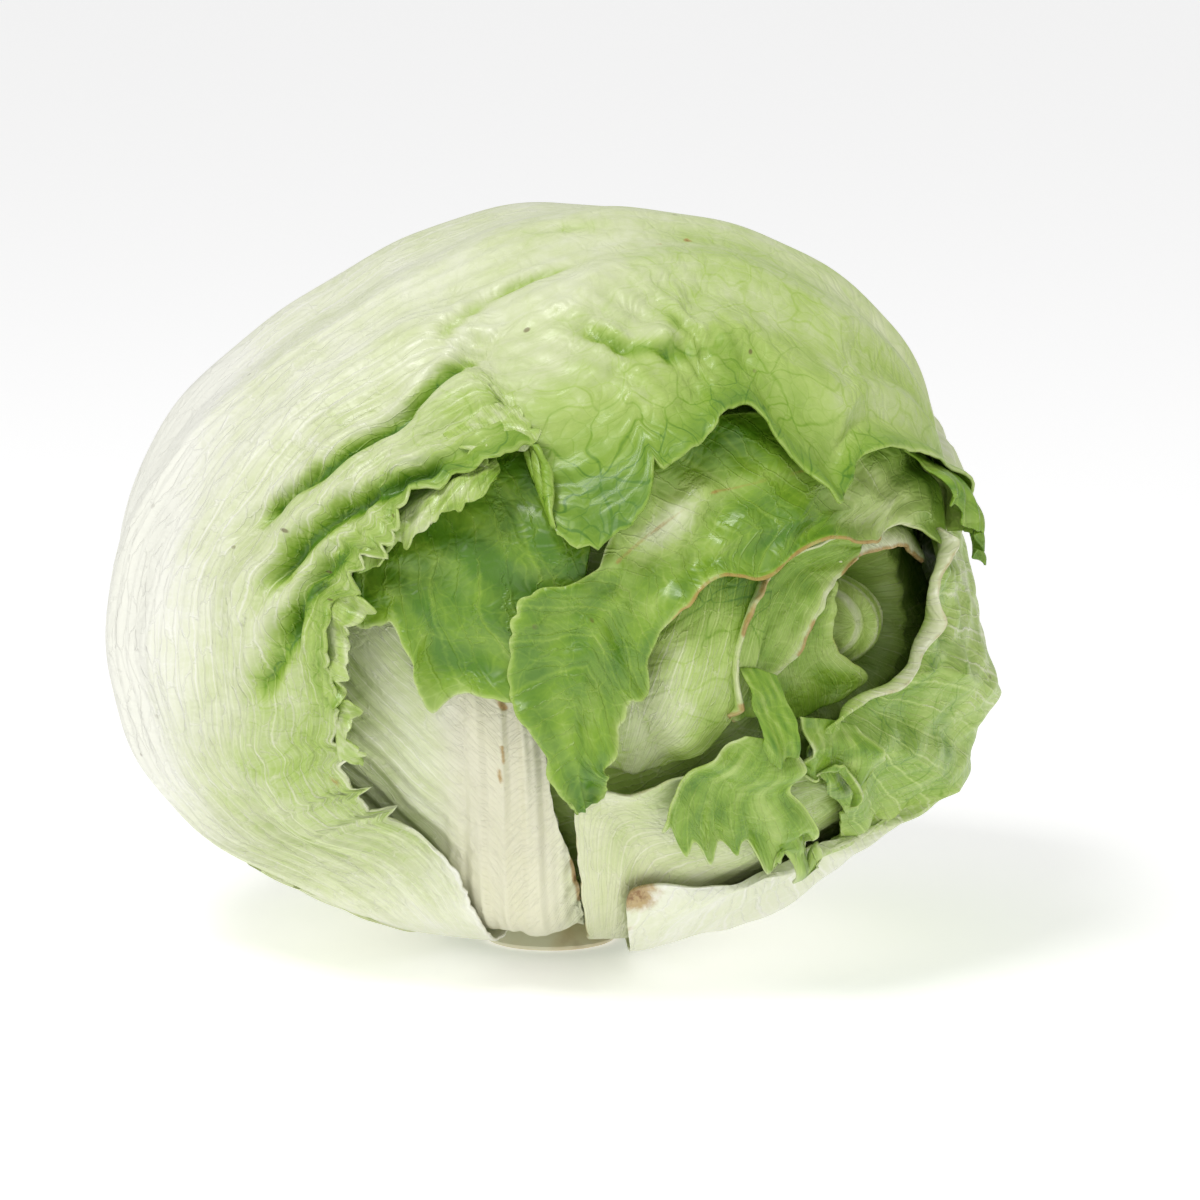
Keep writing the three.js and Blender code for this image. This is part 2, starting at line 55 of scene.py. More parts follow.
bpy.ops.object.select_all(action="DESELECT")
bpy.ops.mesh.primitive_circle_add(
    vertices=72, radius=STEM_RADIUS * 0.928, fill_type="TRIFAN", location=(*STEM_AXIS, 0)
)
stem = bpy.context.object
stem.name = stem.data.name = "cut_stem"
bpy.ops.object.transform_apply(location=True, rotation=False, scale=False)
bpy.ops.object.mode_set(mode="EDIT")
bpy.ops.mesh.select_mode(type="EDGE")
bpy.ops.mesh.select_all(action="DESELECT")
bpy.ops.mesh.select_non_manifold()
for kept, rise in STEM_STEPS:
    bpy.ops.mesh.extrude_region_move(TRANSFORM_OT_translate={"value": (0, 0, rise)})
    bpy.ops.transform.resize(value=(kept, kept, 1), center_override=(*STEM_AXIS, 0))
bpy.ops.mesh.edge_face_add()
bpy.ops.mesh.select_all(action="SELECT")
bpy.ops.mesh.normals_make_consistent(inside=False)
bpy.ops.object.mode_set(mode="OBJECT")
bpy.ops.object.shade_smooth_by_angle(angle=math.radians(40))


class Sap:
    """A value in a finish: arithmetic on it adds Math nodes, and node() adds any other."""

    def __init__(self, tree, socket=None):
        self.tree = tree
        self.socket = socket

    def node(self, kind, settings, values, output=0):
        made = self.tree.nodes.new("ShaderNode" + kind)
        for key, value in settings.items():
            if key == "stops":
                stops = made.color_ramp.elements
                while len(stops) < len(value):
                    stops.new(1.0)
                for stop, (position, shade) in zip(stops, value):
                    stop.position = position
                    stop.color = shade
            else:
                setattr(made, key, value)
        for key, value in values.items():
            if isinstance(value, Sap):
                self.tree.links.new(value.socket, made.inputs[key])
            else:
                made.inputs[key].default_value = value
        return Sap(self.tree, made.outputs[output] if made.outputs else None)

    def maths(self, operation, a, b=0.0):
        return self.node("Math", {"operation": operation}, {0: a, 1: b})

    def __add__(self, other):
        return self.maths("ADD", self, other)

    def __sub__(self, other):
        return self.maths("SUBTRACT", self, other)

    def __mul__(self, other):
        return self.maths("MULTIPLY", self, other)

    def smooth(self, low, high):
        """0 at low and 1 at high, smooth between; low may be the larger."""
        limits = {"Value": self, "From Min": low, "From Max": high}
        return self.node("MapRange", {"interpolation_type": "SMOOTHSTEP"}, limits)

    def mix(self, share, first, second):
        values = {0: share, 6: first, 7: second}
        return self.node("Mix", {"data_type": "RGBA"}, values, 2)


def colour(red, green, blue):
    """A colour given as it looks, 0 to 255, as the linear value that a shader takes."""
    seen = [part / 255 for part in (red, green, blue)]
    return (*[s / 12.92 if s < 0.04045 else ((s + 0.055) / 1.055) ** 2.4 for s in seen], 1.0)


def new_finish(name):
    """An empty material and the start of its sap."""
    finish = bpy.data.materials.new(name)
    finish.use_nodes = True
    finish.node_tree.nodes.clear()
    return finish, Sap(finish.node_tree)


def close_finish(sap, base, roughness, normal, **constants):
    """The leaf's shader and the material's output."""
    values = {"Base Color": base, "Roughness": roughness, "Normal": normal}
    shader = sap.node("BsdfPrincipled", {}, values | constants)
    sap.node("OutputMaterial", {}, {"Surface": shader})


stem_finish, sap = new_finish("cut_stem_flesh")
where = sap.node("TexCoord", {}, {}, "Object")
grain = sap.node("TexNoise", {}, {"Vector": where, "Scale": 240.0, "Detail": 5.0})
patches = sap.node("TexNoise", {}, {"Vector": where, "Scale": 70.0, "Detail": 3.0})
flesh = sap.mix(patches.smooth(0.45, 0.8), colour(232, 228, 202), colour(206, 184, 138))
flesh = sap.mix(grain.smooth(0.55, 0.8) * 0.3, flesh, colour(160, 122, 78))
pits = sap.node("Bump", {}, {"Strength": 0.5, "Distance": 0.0006, "Height": grain})
close_finish(sap, flesh, grain * 0.3 + 0.45, pits)
stem.data.materials.append(stem_finish)
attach(stem, "root")
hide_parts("stem")


# Heart: the tight ball of folded leaves that the loose ones wrap, seen only down the opening at the crown
# and through the gaps. The opening is a hollow with the innermost leaves curled in it like a bud.

HALF_WIDTH, HALF_HEIGHT, HALF_DEPTH = 87.5, 75.0, 79.0  # the head without its loose leaves' bumps, in mm
REST_HEIGHT = 73.0
UNDERSIDE = 75.0
UNDERSIDE_ROUNDING = 8.0
FRONT_TILT = math.radians(10)
HEART_DEPTH = -9.0
CENTRE = np.array((STEM_AXIS[0] * 1000, STEM_AXIS[1] * 1000, REST_HEIGHT))
RIGHT = np.array((1, 0, 0))
UP = np.array((0, math.sin(FRONT_TILT), math.cos(FRONT_TILT)))
NEAR = np.array((0, -math.cos(FRONT_TILT), math.sin(FRONT_TILT)))


def on_head(x, z, side=1):
    """A place seen from the front, in mm from the head's middle, as a unit vector; side -1 is behind."""
    across = x / HALF_WIDTH
    up = z / HALF_HEIGHT
    way = np.array((across, up, side * math.sqrt(max(0.0, 1 - across**2 - up**2))))
    return way / np.linalg.norm(way)


def smooth(values, low, high):
    t = np.clip((values - low) / (high - low), 0, 1)
    return t * t * (3 - 2 * t)


def bell(away, width):
    """1 at nothing, falling to almost none at twice the width."""
    return np.exp(-((away / width) ** 2))


def angle_to(ways, middle):
    return np.arccos(np.clip(ways @ middle, -1, 1))


def swell(ways, middle, reach):
    return 1 - smooth(angle_to(ways, middle), 0, math.radians(reach))


SWELLS = [
    (on_head(50, 55), 50, 4.5),
    (on_head(85, 14), 30, -8),
    (on_head(84, -30), 30, 5.5),
    (on_head(56, -56), 30, -5),
    (on_head(-54, 52), 48, -9.5),
    (on_head(-87, 5), 30, -1.5),
    (on_head(-80, -28), 38, 3),
    (on_head(20, 40, -1), 60, -4),
    (on_head(-40, -10, -1), 50, 3),
]


def place(ways, heights):
    """Points that lie so many mm outside the head's outer form, in metres."""
    points = np.outer(ways[:, 0] * HALF_WIDTH, RIGHT)
    points += np.outer(ways[:, 1] * HALF_HEIGHT, UP) + np.outer(ways[:, 2] * HALF_DEPTH, NEAR)
    reach = np.linalg.norm(points, axis=1)
    points /= reach[:, None]
    for middle, spread, rise in SWELLS:
        reach = reach + rise * swell(ways, middle, spread)
    floor = UNDERSIDE / np.maximum(-points[:, 2], 1e-6)
    share = np.clip(0.5 + 0.5 * (floor - reach) / UNDERSIDE_ROUNDING, 0, 1)
    rounded = floor + (reach - floor) * share - UNDERSIDE_ROUNDING * share * (1 - share)
    reach = np.where(points[:, 2] < 0, rounded, reach)
    return (points * (reach + heights)[:, None] + CENTRE) / 1000


def ripple(x, y, seed):
    """Uneven waves in two directions, about -1 to 1, one wave to a unit."""
    chance = np.random.default_rng(seed)
    total = 0
    for pitch in (0.6, 1.0, 1.7):
        turn, lag = chance.uniform(0, math.tau, 2)
        total = total + np.sin(math.tau * pitch * (x * math.cos(turn) + y * math.sin(turn)) + lag)
    return total / 2.2


CROWN = on_head(64, -9)
OPENING, OPENING_RIM = 13, 4  # the hollow's reach from the crown and its rim's half width, in degrees
OPENING_DEPTH = 17
CROWN_BALL = on_head(62, -9)  # the inner ball that the crown leaves rest on
BALL_REACH, BALL_HEIGHT = 10.5, 12.5
BUD = on_head(67.5, -10)  # what is seen of that ball between them
BUD_REACH, BUD_FLOOR, BUD_HEIGHT = 10, -23, 17
BUD_EDGES = (-3.0, 1.0, 4.5, 7.0)  # where its leaves end, in mm across it
STEM_WAY = np.array((0, -math.cos(FRONT_TILT), -math.sin(FRONT_TILT)))


def heart_height(ways):
    """Height of the heart under the leaves: a hollow at the crown with the inner ball in it."""
    from_crown = angle_to(ways, CROWN)
    rim = 1 - smooth(from_crown, math.radians(OPENING - OPENING_RIM), math.radians(OPENING + OPENING_RIM))
    ball = np.sqrt(np.maximum(0, 1 - (angle_to(ways, CROWN_BALL) / math.radians(BALL_REACH)) ** 2))
    return HEART_DEPTH - OPENING_DEPTH * rim + BALL_HEIGHT * ball


def paint(mesh, name, kind, values):
    """Keeps a value for each vertex, for the finish to read."""
    layer = mesh.attributes.new(name, kind, "POINT")
    layer.data.foreach_set("color" if kind == "FLOAT_COLOR" else "vector", values.astype(np.float32).ravel())


def vertices_of(mesh):
    flat = np.empty(len(mesh.vertices) * 3)
    mesh.vertices.foreach_get("co", flat)
    return flat.reshape(-1, 3)


bpy.ops.object.select_all(action="DESELECT")
bpy.ops.mesh.primitive_uv_sphere_add(segments=180, ring_count=150, radius=1)
heart = bpy.context.object
heart.name = heart.data.name = "heart_of_the_head"
ball = vertices_of(heart.data)
turn = np.arctan2(ball[:, 1], ball[:, 0])
polar = np.arccos(np.clip(ball[:, 2], -1, 1)) / math.pi
polar = math.pi * (0.35 * polar + 0.65 * polar**2.2)
sideways = np.cross((0, 1, 0), CROWN)
sideways /= np.linalg.norm(sideways)
upward = np.cross(CROWN, sideways)
ways = np.outer(np.cos(polar), CROWN) + np.outer(np.sin(polar) * np.cos(turn), sideways)
ways += np.outer(np.sin(polar) * np.sin(turn), upward)
from_crown = np.degrees(angle_to(ways, CROWN))
from_bud = np.degrees(angle_to(ways, BUD))
bud = 1 - smooth(from_bud, 8.5, BUD_REACH)
bud_x = (ways[:, 0] - BUD[0]) * HALF_WIDTH
bud_z = (ways[:, 1] - BUD[1]) * HALF_HEIGHT
bend = bud_x + 0.03 * (bud_z - 2) ** 2
terraces = 0
rims = 0
for edge_x in BUD_EDGES:
    terraces = terraces - smooth(bend, edge_x, edge_x + 0.7)
    rims = rims + bell(bend - edge_x + 0.5, 0.6)
pleats = 0.25 * np.cos(2.6 * (bend + 0.4 * np.sin(bud_z / 3)))
hollow = HEART_DEPTH - OPENING_DEPTH * (1 - smooth(from_crown, OPENING - OPENING_RIM, OPENING + OPENING_RIM))
dome = BUD_FLOOR + BUD_HEIGHT * np.sqrt(np.maximum(0, 1 - (from_bud / BUD_REACH) ** 2))
rises = bud * (terraces + 1.5 + pleats) + 0.4 * np.cos(22 * turn) * (1 - bud)
heart.data.vertices.foreach_set("co", place(ways, np.maximum(hollow, dome) + rises).ravel())
# Painted shade: the hollow round the bud is tinted a deeper green, darkest down in the opening.
deep = 1 - smooth(from_crown, OPENING - 3, OPENING + 3)
greens = 0.66 + 0.18 * deep * (1 - bud) + 0.02 * bud - 0.2 * np.clip(rims, 0, 1) * bud
nothing = np.zeros(len(ways))
paint(heart.data, "tint", "FLOAT_COLOR", np.stack((greens, nothing, nothing, nothing + 1), 1))
paint(heart.data, "grain", "FLOAT_VECTOR", np.stack((from_crown / 700, turn / 60, turn * 7), 1))
bpy.ops.object.shade_smooth()


LEAF_COLOURS = [  # from the white of the ribs to the green of a free margin
    (0.00, colour(242, 242, 230)),
    (0.20, colour(230, 233, 207)),
    (0.40, colour(208, 217, 168)),
    (0.60, colour(172, 196, 102)),
    (0.80, colour(130, 166, 46)),
    (1.00, colour(80, 126, 12)),
]


def leaf_finish(name, ribs, net, net_turn, net_size, gloss):
    """A leaf's skin: its tint from white rib to green margin, pale ribs, a net of veins that may turn darker
    than the blade where that is green, a puckered, waxy surface, browned edges and a few specks."""
    finish, sap = new_finish(name)
    tint = sap.node("Attribute", {"attribute_name": "tint"}, {}, "Color")
    green = sap.node("SeparateColor", {}, {"Color": tint}, "Red")
    brown = sap.node("SeparateColor", {}, {"Color": tint}, "Green")
    ribbed = sap.node("Attribute", {"attribute_name": "tint"}, {}, "Alpha")
    cream = sap.node("SeparateColor", {}, {"Color": tint}, "Blue")
    blade = sap.node("Attribute", {"attribute_name": "grain"}, {}, "Vector")
    along = sap.node("SeparateXYZ", {}, {"Vector": blade}, "X")
    phase = sap.node("SeparateXYZ", {}, {"Vector": blade}, "Z")
    flat = sap.node("VectorMath", {"operation": "MULTIPLY"}, {0: blade, 1: (1, 1, 0)})
    plane = {"noise_dimensions": "2D"}
    drift = sap.node("TexNoise", plane, {"Vector": flat, "Scale": 110.0, "Detail": 1.0}, "Color")
    drift = sap.node("VectorMath", {"operation": "SCALE"}, {0: drift, "Scale": net_size * 0.9})
    bent = sap.node("VectorMath", {"operation": "ADD"}, {0: flat, 1: drift})
    edges = {"feature": "DISTANCE_TO_EDGE", "voronoi_dimensions": "2D"}
    cells = sap.node("TexVoronoi", edges, {"Vector": bent, "Scale": 1 / net_size})
    small = sap.node("TexVoronoi", edges, {"Vector": bent, "Scale": 2.7 / net_size})
    mottling = {"Vector": flat, "Scale": 150.0, "Detail": 4.0, "Roughness": 0.65}
    mottle = sap.node("TexNoise", plane, mottling)
    broad = sap.node("TexNoise", plane, {"Vector": flat, "Scale": 38.0, "Detail": 1.0})
    wander = phase + (broad - 0.5) * 0.9 + (mottle - 0.5) * 0.25
    beside = sap.maths("ABSOLUTE", sap.maths("FRACT", wander) - 0.5) * 2
    rib = beside.smooth(0.17, 0.0) * broad.smooth(0.3, 0.6)
    hair = (sap.maths("ABSOLUTE", sap.maths("FRACT", wander * 4.0 + mottle) - 0.5) * 2).smooth(0.45, 0.0)
    threads = {"X": along * 95.0 + mottle * 0.8, "Y": wander * 2.3}
    weave = sap.node("CombineXYZ", {}, threads, "Vector")
    hatch = sap.node("TexVoronoi", edges, {"Vector": weave, "Scale": 1.0})
    hatch = hatch.smooth(0.07, 0.0) * ribbed
    veins = cells.smooth(0.045, 0.0) + small.smooth(0.07, 0.0) * 0.5
    pale = (rib * ribs + hair * (ribs * 0.35)) * ribbed + hatch * (ribs * 0.55)
    depth = green + (mottle - 0.5) * 0.26 + (broad - 0.5) * 0.18 - pale
    depth = depth + veins * net * (green * net_turn - 1)
    skin = sap.node("ValToRGB", {"stops": LEAF_COLOURS}, {"Fac": depth}, "Color")
    skin = sap.mix(cream, skin, colour(219, 215, 184))
    rust = (brown * (mottle * 1.7 + 0.15)).smooth(0.42, 0.95)
    skin = sap.mix(rust * 0.8, skin, colour(172, 134, 62))
    skin = sap.mix((brown * mottle).smooth(0.5, 0.7) * 0.8, skin, colour(120, 74, 30))
    dots = sap.node("TexVoronoi", {"voronoi_dimensions": "2D"}, {"Vector": flat, "Scale": 62.0})
    dots = dots.smooth(0.045, 0.02) * broad.smooth(0.64, 0.7)
    skin = sap.mix(dots * 0.7, skin, colour(96, 74, 36))
    pucker = small.smooth(0.0, 0.35) * 0.3 + mottle * 0.35 + hatch * 0.45
    relief = sap.node("Bump", {}, {"Strength": 0.5, "Distance": 0.0007, "Height": pucker})
    wax = mottle * 0.25 + (0.50 - gloss) + rust * 0.2
    close_finish(sap, skin, wax, relief, **{"Coat Weight": gloss, "Coat Roughness": 0.12})
    return finish


heart_finish = leaf_finish("heart_leaf", ribs=0.10, net=0.05, net_turn=0.0, net_size=0.009, gloss=0.12)
heart.data.materials.append(heart_finish)
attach(heart, "root")
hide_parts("heart")


# Crown leaves: the ends of the heart's own leaves, lapped round the opening. Their free edges dry first,
# so they are pale and browned, and roll a little outwards.

BLADE, GAP = 0.9, 0.8  # how much each leaf raises the next one, and the air under it, in mm
SAMPLE_PITCH, SAMPLE_BLUR = 4.5, 1e-3  # samples of each leaf that the leaves over it feel, in mm
CURL_FADE = 0.06  # share of a leaf's length over which a rolled margin starts and ends
CROWDING = 1.15  # draws the grid's lines closer together towards the margins
FOOT_ANGLE = math.radians(16)
STEM_FRONT = np.array((0, -math.sin(FRONT_TILT), math.cos(FRONT_TILT)))
COVER_FULL = math.cos(math.radians(4.5))
COVER_NONE = math.cos(math.radians(11))
GIRTH = (HALF_WIDTH + HALF_HEIGHT + HALF_DEPTH) / 3
LEFT, RIB, RIGHT_SIDE = -1, 0, 1


def foot(bearing):
    """Where a leaf leaves the stem: bearing 0 is right, 90 front, 180 left and 270 back."""
    turn = math.radians(bearing)
    out = np.array((math.cos(turn), 0, 0)) + STEM_FRONT * math.sin(turn)
    return STEM_WAY * math.cos(FOOT_ANGLE) + out * math.sin(FOOT_ANGLE)


def curve_through(keys):
    """A smooth curve on the head through keys of (u, x, z), (u, x, z, side) or (u, foot)."""
    stops = np.array([key[0] for key in keys], float)
    spots = np.array([key[1] if len(key) == 2 else on_head(*key[1:]) for key in keys])
    after = np.append(np.arange(1, len(keys)), len(keys) - 1)
    before = np.insert(np.arange(len(keys) - 1), 0, 0)
    slopes = (spots[after] - spots[before]) / (stops[after] - stops[before])[:, None]

    def at(u):
        last = np.clip(np.searchsorted(stops, u), 1, len(stops) - 1)
        first = last - 1
        span = (stops[last] - stops[first])[:, None]
        t = (u - stops[first])[:, None] / span
        blend = t * t * (3 - 2 * t)
        spot = spots[first] * (1 - blend) + spots[last] * blend
        spot = spot + slopes[first] * span * t * (1 - t) ** 2 + slopes[last] * span * t * t * (t - 1)
        return spot / np.linalg.norm(spot, axis=1)[:, None]

    return at


def along_arc(start, end, share):
    angle = np.arccos(np.clip((start * end).sum(1), -1, 1))
    angle = np.maximum(angle, 1e-6)
    way = start * np.sin((1 - share) * angle)[:, None] + end * np.sin(share * angle)[:, None]
    return way / np.linalg.norm(way, axis=1)[:, None]


def to_arc(ways, start, end):
    """Degrees from each direction to the nearest point of an arc."""
    chord = end - start
    share = np.clip((ways - start) @ chord / (chord @ chord), 0, 1)
    nearest = along_arc(np.broadcast_to(start, ways.shape), np.broadcast_to(end, ways.shape), share)
    return np.degrees(np.arccos(np.clip((ways * nearest).sum(1), -1, 1)))


class Leaf:
    """A leaf drawn on the head by its left margin, rib and right margin, from foot to tip."""

    def __init__(self, left, rib, right, level=-20, gap=GAP, ridge=(0, 1, 1), ribs=(0, 0), folds=()):
        self.left, self.rib, self.right = map(curve_through, (left, rib, right))
        self.level, self.gap, self.ridge, self.ribs = level, gap, ridge, ribs
        self.folds = [(on_head(*a), on_head(*b), width, rise) for a, b, width, rise in folds]
        steps = np.linspace(0, 1, 161)
        self.steps = steps
        self.wide = {
            side: GIRTH * np.arccos(np.clip((self.rib(steps) * curve(steps)).sum(1), -1, 1))
            for side, curve in ((LEFT, self.left), (RIGHT_SIDE, self.right))
        }
        self.run = {}
        for side, curve in ((LEFT, self.left), (RIB, self.rib), (RIGHT_SIDE, self.right)):
            hops = GIRTH * np.linalg.norm(np.diff(curve(steps), axis=0), axis=1)
            self.run[side] = np.insert(np.cumsum(hops), 0, 0)
        self.length = self.run[RIB][-1]
        rows = math.ceil(self.length / SAMPLE_PITCH)
        u, v = [], []
        for step in np.linspace(0, 1, rows + 1):
            width = sum(np.interp(step, steps, self.wide[side]) for side in (LEFT, RIGHT_SIDE))
            columns = np.linspace(-1, 1, math.ceil(width / SAMPLE_PITCH) + 1)
            u.append(np.full(len(columns), step))
            v.append(columns)
        u, v = np.concatenate(u), np.concatenate(v)
        self.samples = self.way(u, v).astype(np.float32)
        self.rises = self.rise(u, v).astype(np.float32)

    def on_side(self, kept, u, v):
        """A value kept along both margins, read for the side that v is on."""
        left, right = (np.interp(u, self.steps, kept[side]) for side in (LEFT, RIGHT_SIDE))
        return np.where(v < 0, left, right)

    def half_width(self, u, v):
        return self.on_side(self.wide, u, v)

    def margin_run(self, u, v):
        return self.on_side(self.run, u, v)

    def way(self, u, v):
        margins = np.where(v[:, None] < 0, self.left(u), self.right(u))
        return along_arc(self.rib(u), margins, np.abs(v))

    def rise(self, u, v):
        """The leaf's own large relief: its stalk, its broad ribs and its folds."""
        height, width, fade = self.ridge
        aside = np.abs(v) * self.half_width(u, v) / width
        stalk = height * np.exp(-aside * aside) * smooth(u, -0.05, 0.2) * (1 - smooth(u, 0.2, fade))
        count, tall = self.ribs
        total = stalk + tall * (0.5 + 0.5 * np.cos(math.pi * count * v)) * smooth(u, 0.02, 0.2)
        if self.folds:
            ways = self.way(u, v)
            for start, end, width, rise in self.folds:
                total = total + rise * bell(to_arc(ways, start, end), width)
        return total

    def cover(self, ways):
        """How far the leaf covers each direction, and how high it rises there."""
        covers, rises = [], []
        for some in np.array_split(ways.astype(np.float32), max(1, len(ways) // 4000)):
            close = some @ self.samples.T
            weights = np.exp((close - 1) / SAMPLE_BLUR)
            covers.append(smooth(close.max(1), COVER_NONE, COVER_FULL))
            rises.append(weights @ self.rises / np.maximum(weights.sum(1), 1e-30))
        return np.concatenate(covers), np.concatenate(rises)

    def inner_height(self, below, ways):
        lift = self.level - below - self.gap
        air = 0.5 * (lift + np.hypot(lift, 1))
        return below + self.gap + air * smooth(angle_to(ways, STEM_WAY), math.radians(12), math.radians(26))


leaves_so_far = []


def pile_height(ways):
    """Height of the heart and of the leaves that are already on it."""
    below = heart_height(ways)
    for leaf in leaves_so_far:
        cover, rise = leaf.cover(ways)
        below = below + cover * (leaf.inner_height(below, ways) + rise + BLADE - below)
    return below


def jagged(run, pitch, seed):
    """A torn outline along a margin, -1 to 1: uneven lobes about a pitch apart, with rounded scallops."""
    chance = np.random.default_rng(seed)
    count = int(run.max() / pitch) + 3
    knots = np.cumsum(chance.uniform(0.35, 1.65, count) * pitch)
    lobes = np.interp(run, knots, chance.uniform(-1, 1, count))
    depth = np.interp(run, knots, chance.uniform(0, 1, count) ** 2)
    scallops = np.abs(np.sin(2.4 * run / pitch + 1.3 * np.sin(0.7 * run / pitch + seed))) - 0.6
    return 0.7 * lobes + (0.15 + 0.65 * depth) * scallops


def spot(ways, x, z, size, side=1):
    """A soft round patch, 1 at a place on the head and gone a little past its size in mm."""
    return bell(angle_to(ways, on_head(x, z, side)) * GIRTH, size)


def streak(ways, start, end, size):
    """A soft line between two places on the head, its width in mm."""
    away = np.radians(to_arc(ways, on_head(*start), on_head(*end))) * GIRTH
    return bell(away, size)


def grow(
    name, node, finish, leaf, cells, tint, phase,
    detail=None, edge=None, tip=None, curls=(), left_share=0.5, thick=0.65,
):
    """Shapes a grid into a leaf in place of a node: its outline, rolled margins, relief and thickness, and
    the values that its finish reads."""
    bpy.ops.object.select_all(action="DESELECT")
    bpy.ops.mesh.primitive_grid_add(x_subdivisions=cells[0], y_subdivisions=cells[1], size=2)
    piece = bpy.context.object
    piece.name = piece.data.name = name
    grid = vertices_of(piece.data)
    u = (grid[:, 0] + 1) / 2
    t = (grid[:, 1] + 1) / 2
    v = np.where(t < left_share, t / left_share - 1, (t - left_share) / (1 - left_share))
    v = np.sign(v) * (1 - (1 - np.abs(v)) ** CROWDING)
    half = np.maximum(leaf.half_width(u, v), 0.5)
    run = leaf.margin_run(u, v)
    inside = (1 - np.abs(v)) * half
    drawn = np.abs(v)
    lifted = np.zeros(len(v))
    for side, start, end, width, degrees in curls:
        strength = smooth(u, start, start + CURL_FADE) * (1 - smooth(u, end - CURL_FADE, end))
        bend = math.radians(degrees) * strength + 1e-3
        radius = width / bend
        reached = np.clip(1 - inside / width, 0, 1) * bend
        here = (np.sign(v) == side) & (inside < width)
        rolled = 1 - width / half + radius * np.sin(reached) / half
        drawn = np.where(here, rolled, drawn)
        lifted = np.where(here, radius * (1 - np.cos(reached)), lifted)
    if edge is not None:
        drawn = drawn + np.abs(v) ** 5 * edge(u, v, run) / half
    v_drawn = np.sign(v) * np.maximum(drawn, 0)
    u_drawn = u if tip is None else u + u**3 * tip(v * half) / leaf.length
    ways = leaf.way(u_drawn, v_drawn)
    height = leaf.inner_height(pile_height(ways), ways) + leaf.rise(u_drawn, np.clip(v_drawn, -1, 1))
    height = height + lifted
    along = u * leaf.length
    across = v * half
    if detail is not None:
        height = height + detail(u, v, ways, inside, along, across, run)
    piece.data.vertices.foreach_set("co", place(ways, height + BLADE).ravel())
    piece.data.update()
    normals = np.empty(len(piece.data.vertices) * 3)
    piece.data.vertices.foreach_get("normal", normals)
    outward = vertices_of(piece.data) - CENTRE / 1000
    if (normals.reshape(-1, 3) * outward).sum(1).mean() < 0:
        piece.data.flip_normals()
    tints = tint(u, v, ways, inside, along, across)
    tints = np.broadcast_arrays(*tints, np.ones(len(u)))[:4]
    paint(piece.data, "tint", "FLOAT_COLOR", np.stack(tints, 1))
    lines = phase(u, v, ways, along, across)
    paint(piece.data, "grain", "FLOAT_VECTOR", np.stack((along / 1000, across / 1000, lines), 1))
    bpy.ops.object.modifier_add(type="SOLIDIFY")
    piece.modifiers[-1].thickness = thick / 1000
    piece.modifiers[-1].offset = -1
    bpy.ops.object.modifier_apply(modifier=piece.modifiers[-1].name)
    bpy.ops.object.shade_smooth()
    leaves_so_far.append(leaf)
    piece.data.materials.append(finish)
    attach(piece, "root")
    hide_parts(node)


crown_finish = leaf_finish("crown_leaf", ribs=0.11, net=0.05, net_turn=0.0, net_size=0.008, gloss=0.16)


def pinnate(slant, pitch):
    """Side veins that leave the rib at a slant, a pitch apart in mm."""
    return lambda u, v, ways, along, across: (along - slant * np.abs(across)) / pitch


crown_top = Leaf(
    left=[(0, 54, 1), (0.4, 65, 5.5), (0.75, 72, 6), (1, 76, 3.5)],
    rib=[(0, 53, 6), (0.5, 66, 11), (1, 79, 9)],
    right=[(0, 50, 12), (0.5, 64, 18), (1, 80, 16)],
    level=-6.5,
)
grow(
    "crown_leaf_top", "leaf_crown_top", crown_finish, crown_top, (60, 36),
    lambda u, v, ways, inside, along, across: (
        0.66 - 0.3 * bell(inside, 3) * (v < 0),
        0.9 * bell(inside, 1.3) * (v < 0),
        0.25 * bell(inside, 4) * (v < 0),
    ),
    pinnate(0.8, 3.0),
    detail=lambda u, v, ways, inside, along, across, run: (
        (3 + 0.7 * np.sin(run / 2.6)) * bell(inside, 7) * (v < 0)
    ),
    edge=lambda u, v, run: 0.5 * jagged(run, 4, 3),
)

crown_left = Leaf(
    left=[(0, 44, -31), (0.5, 42, -14), (1, 52, 2)],
    rib=[(0, 53, -28), (0.5, 50, -13), (1, 54, 1)],
    right=[(0, 61, -23), (0.15, 63.5, -19.5), (0.35, 59, -15), (0.6, 57, -10), (0.8, 56, -4), (1, 57, -1)],
    level=-6.5,
)
grow(
    "crown_leaf_left", "leaf_crown_left", crown_finish, crown_left, (70, 44),
    lambda u, v, ways, inside, along, across: (
        0.84 - 0.2 * bell(inside, 3) * (v > 0) + 0.06 * ripple(u * 2, v, 4),
        0.45 * bell(inside, 1.0) * (v > 0),
        0.0,
    ),
    lambda u, v, ways, along, across: 6 * v + 0.5 * u,
    detail=lambda u, v, ways, inside, along, across, run: (
        (2 + 0.8 * np.sin(run / 3.1)) * bell(inside, 6) * (v > 0) + 0.25 * np.cos(9 * v)
    ),
    edge=lambda u, v, run: 0.6 * jagged(run, 4, 5),
)

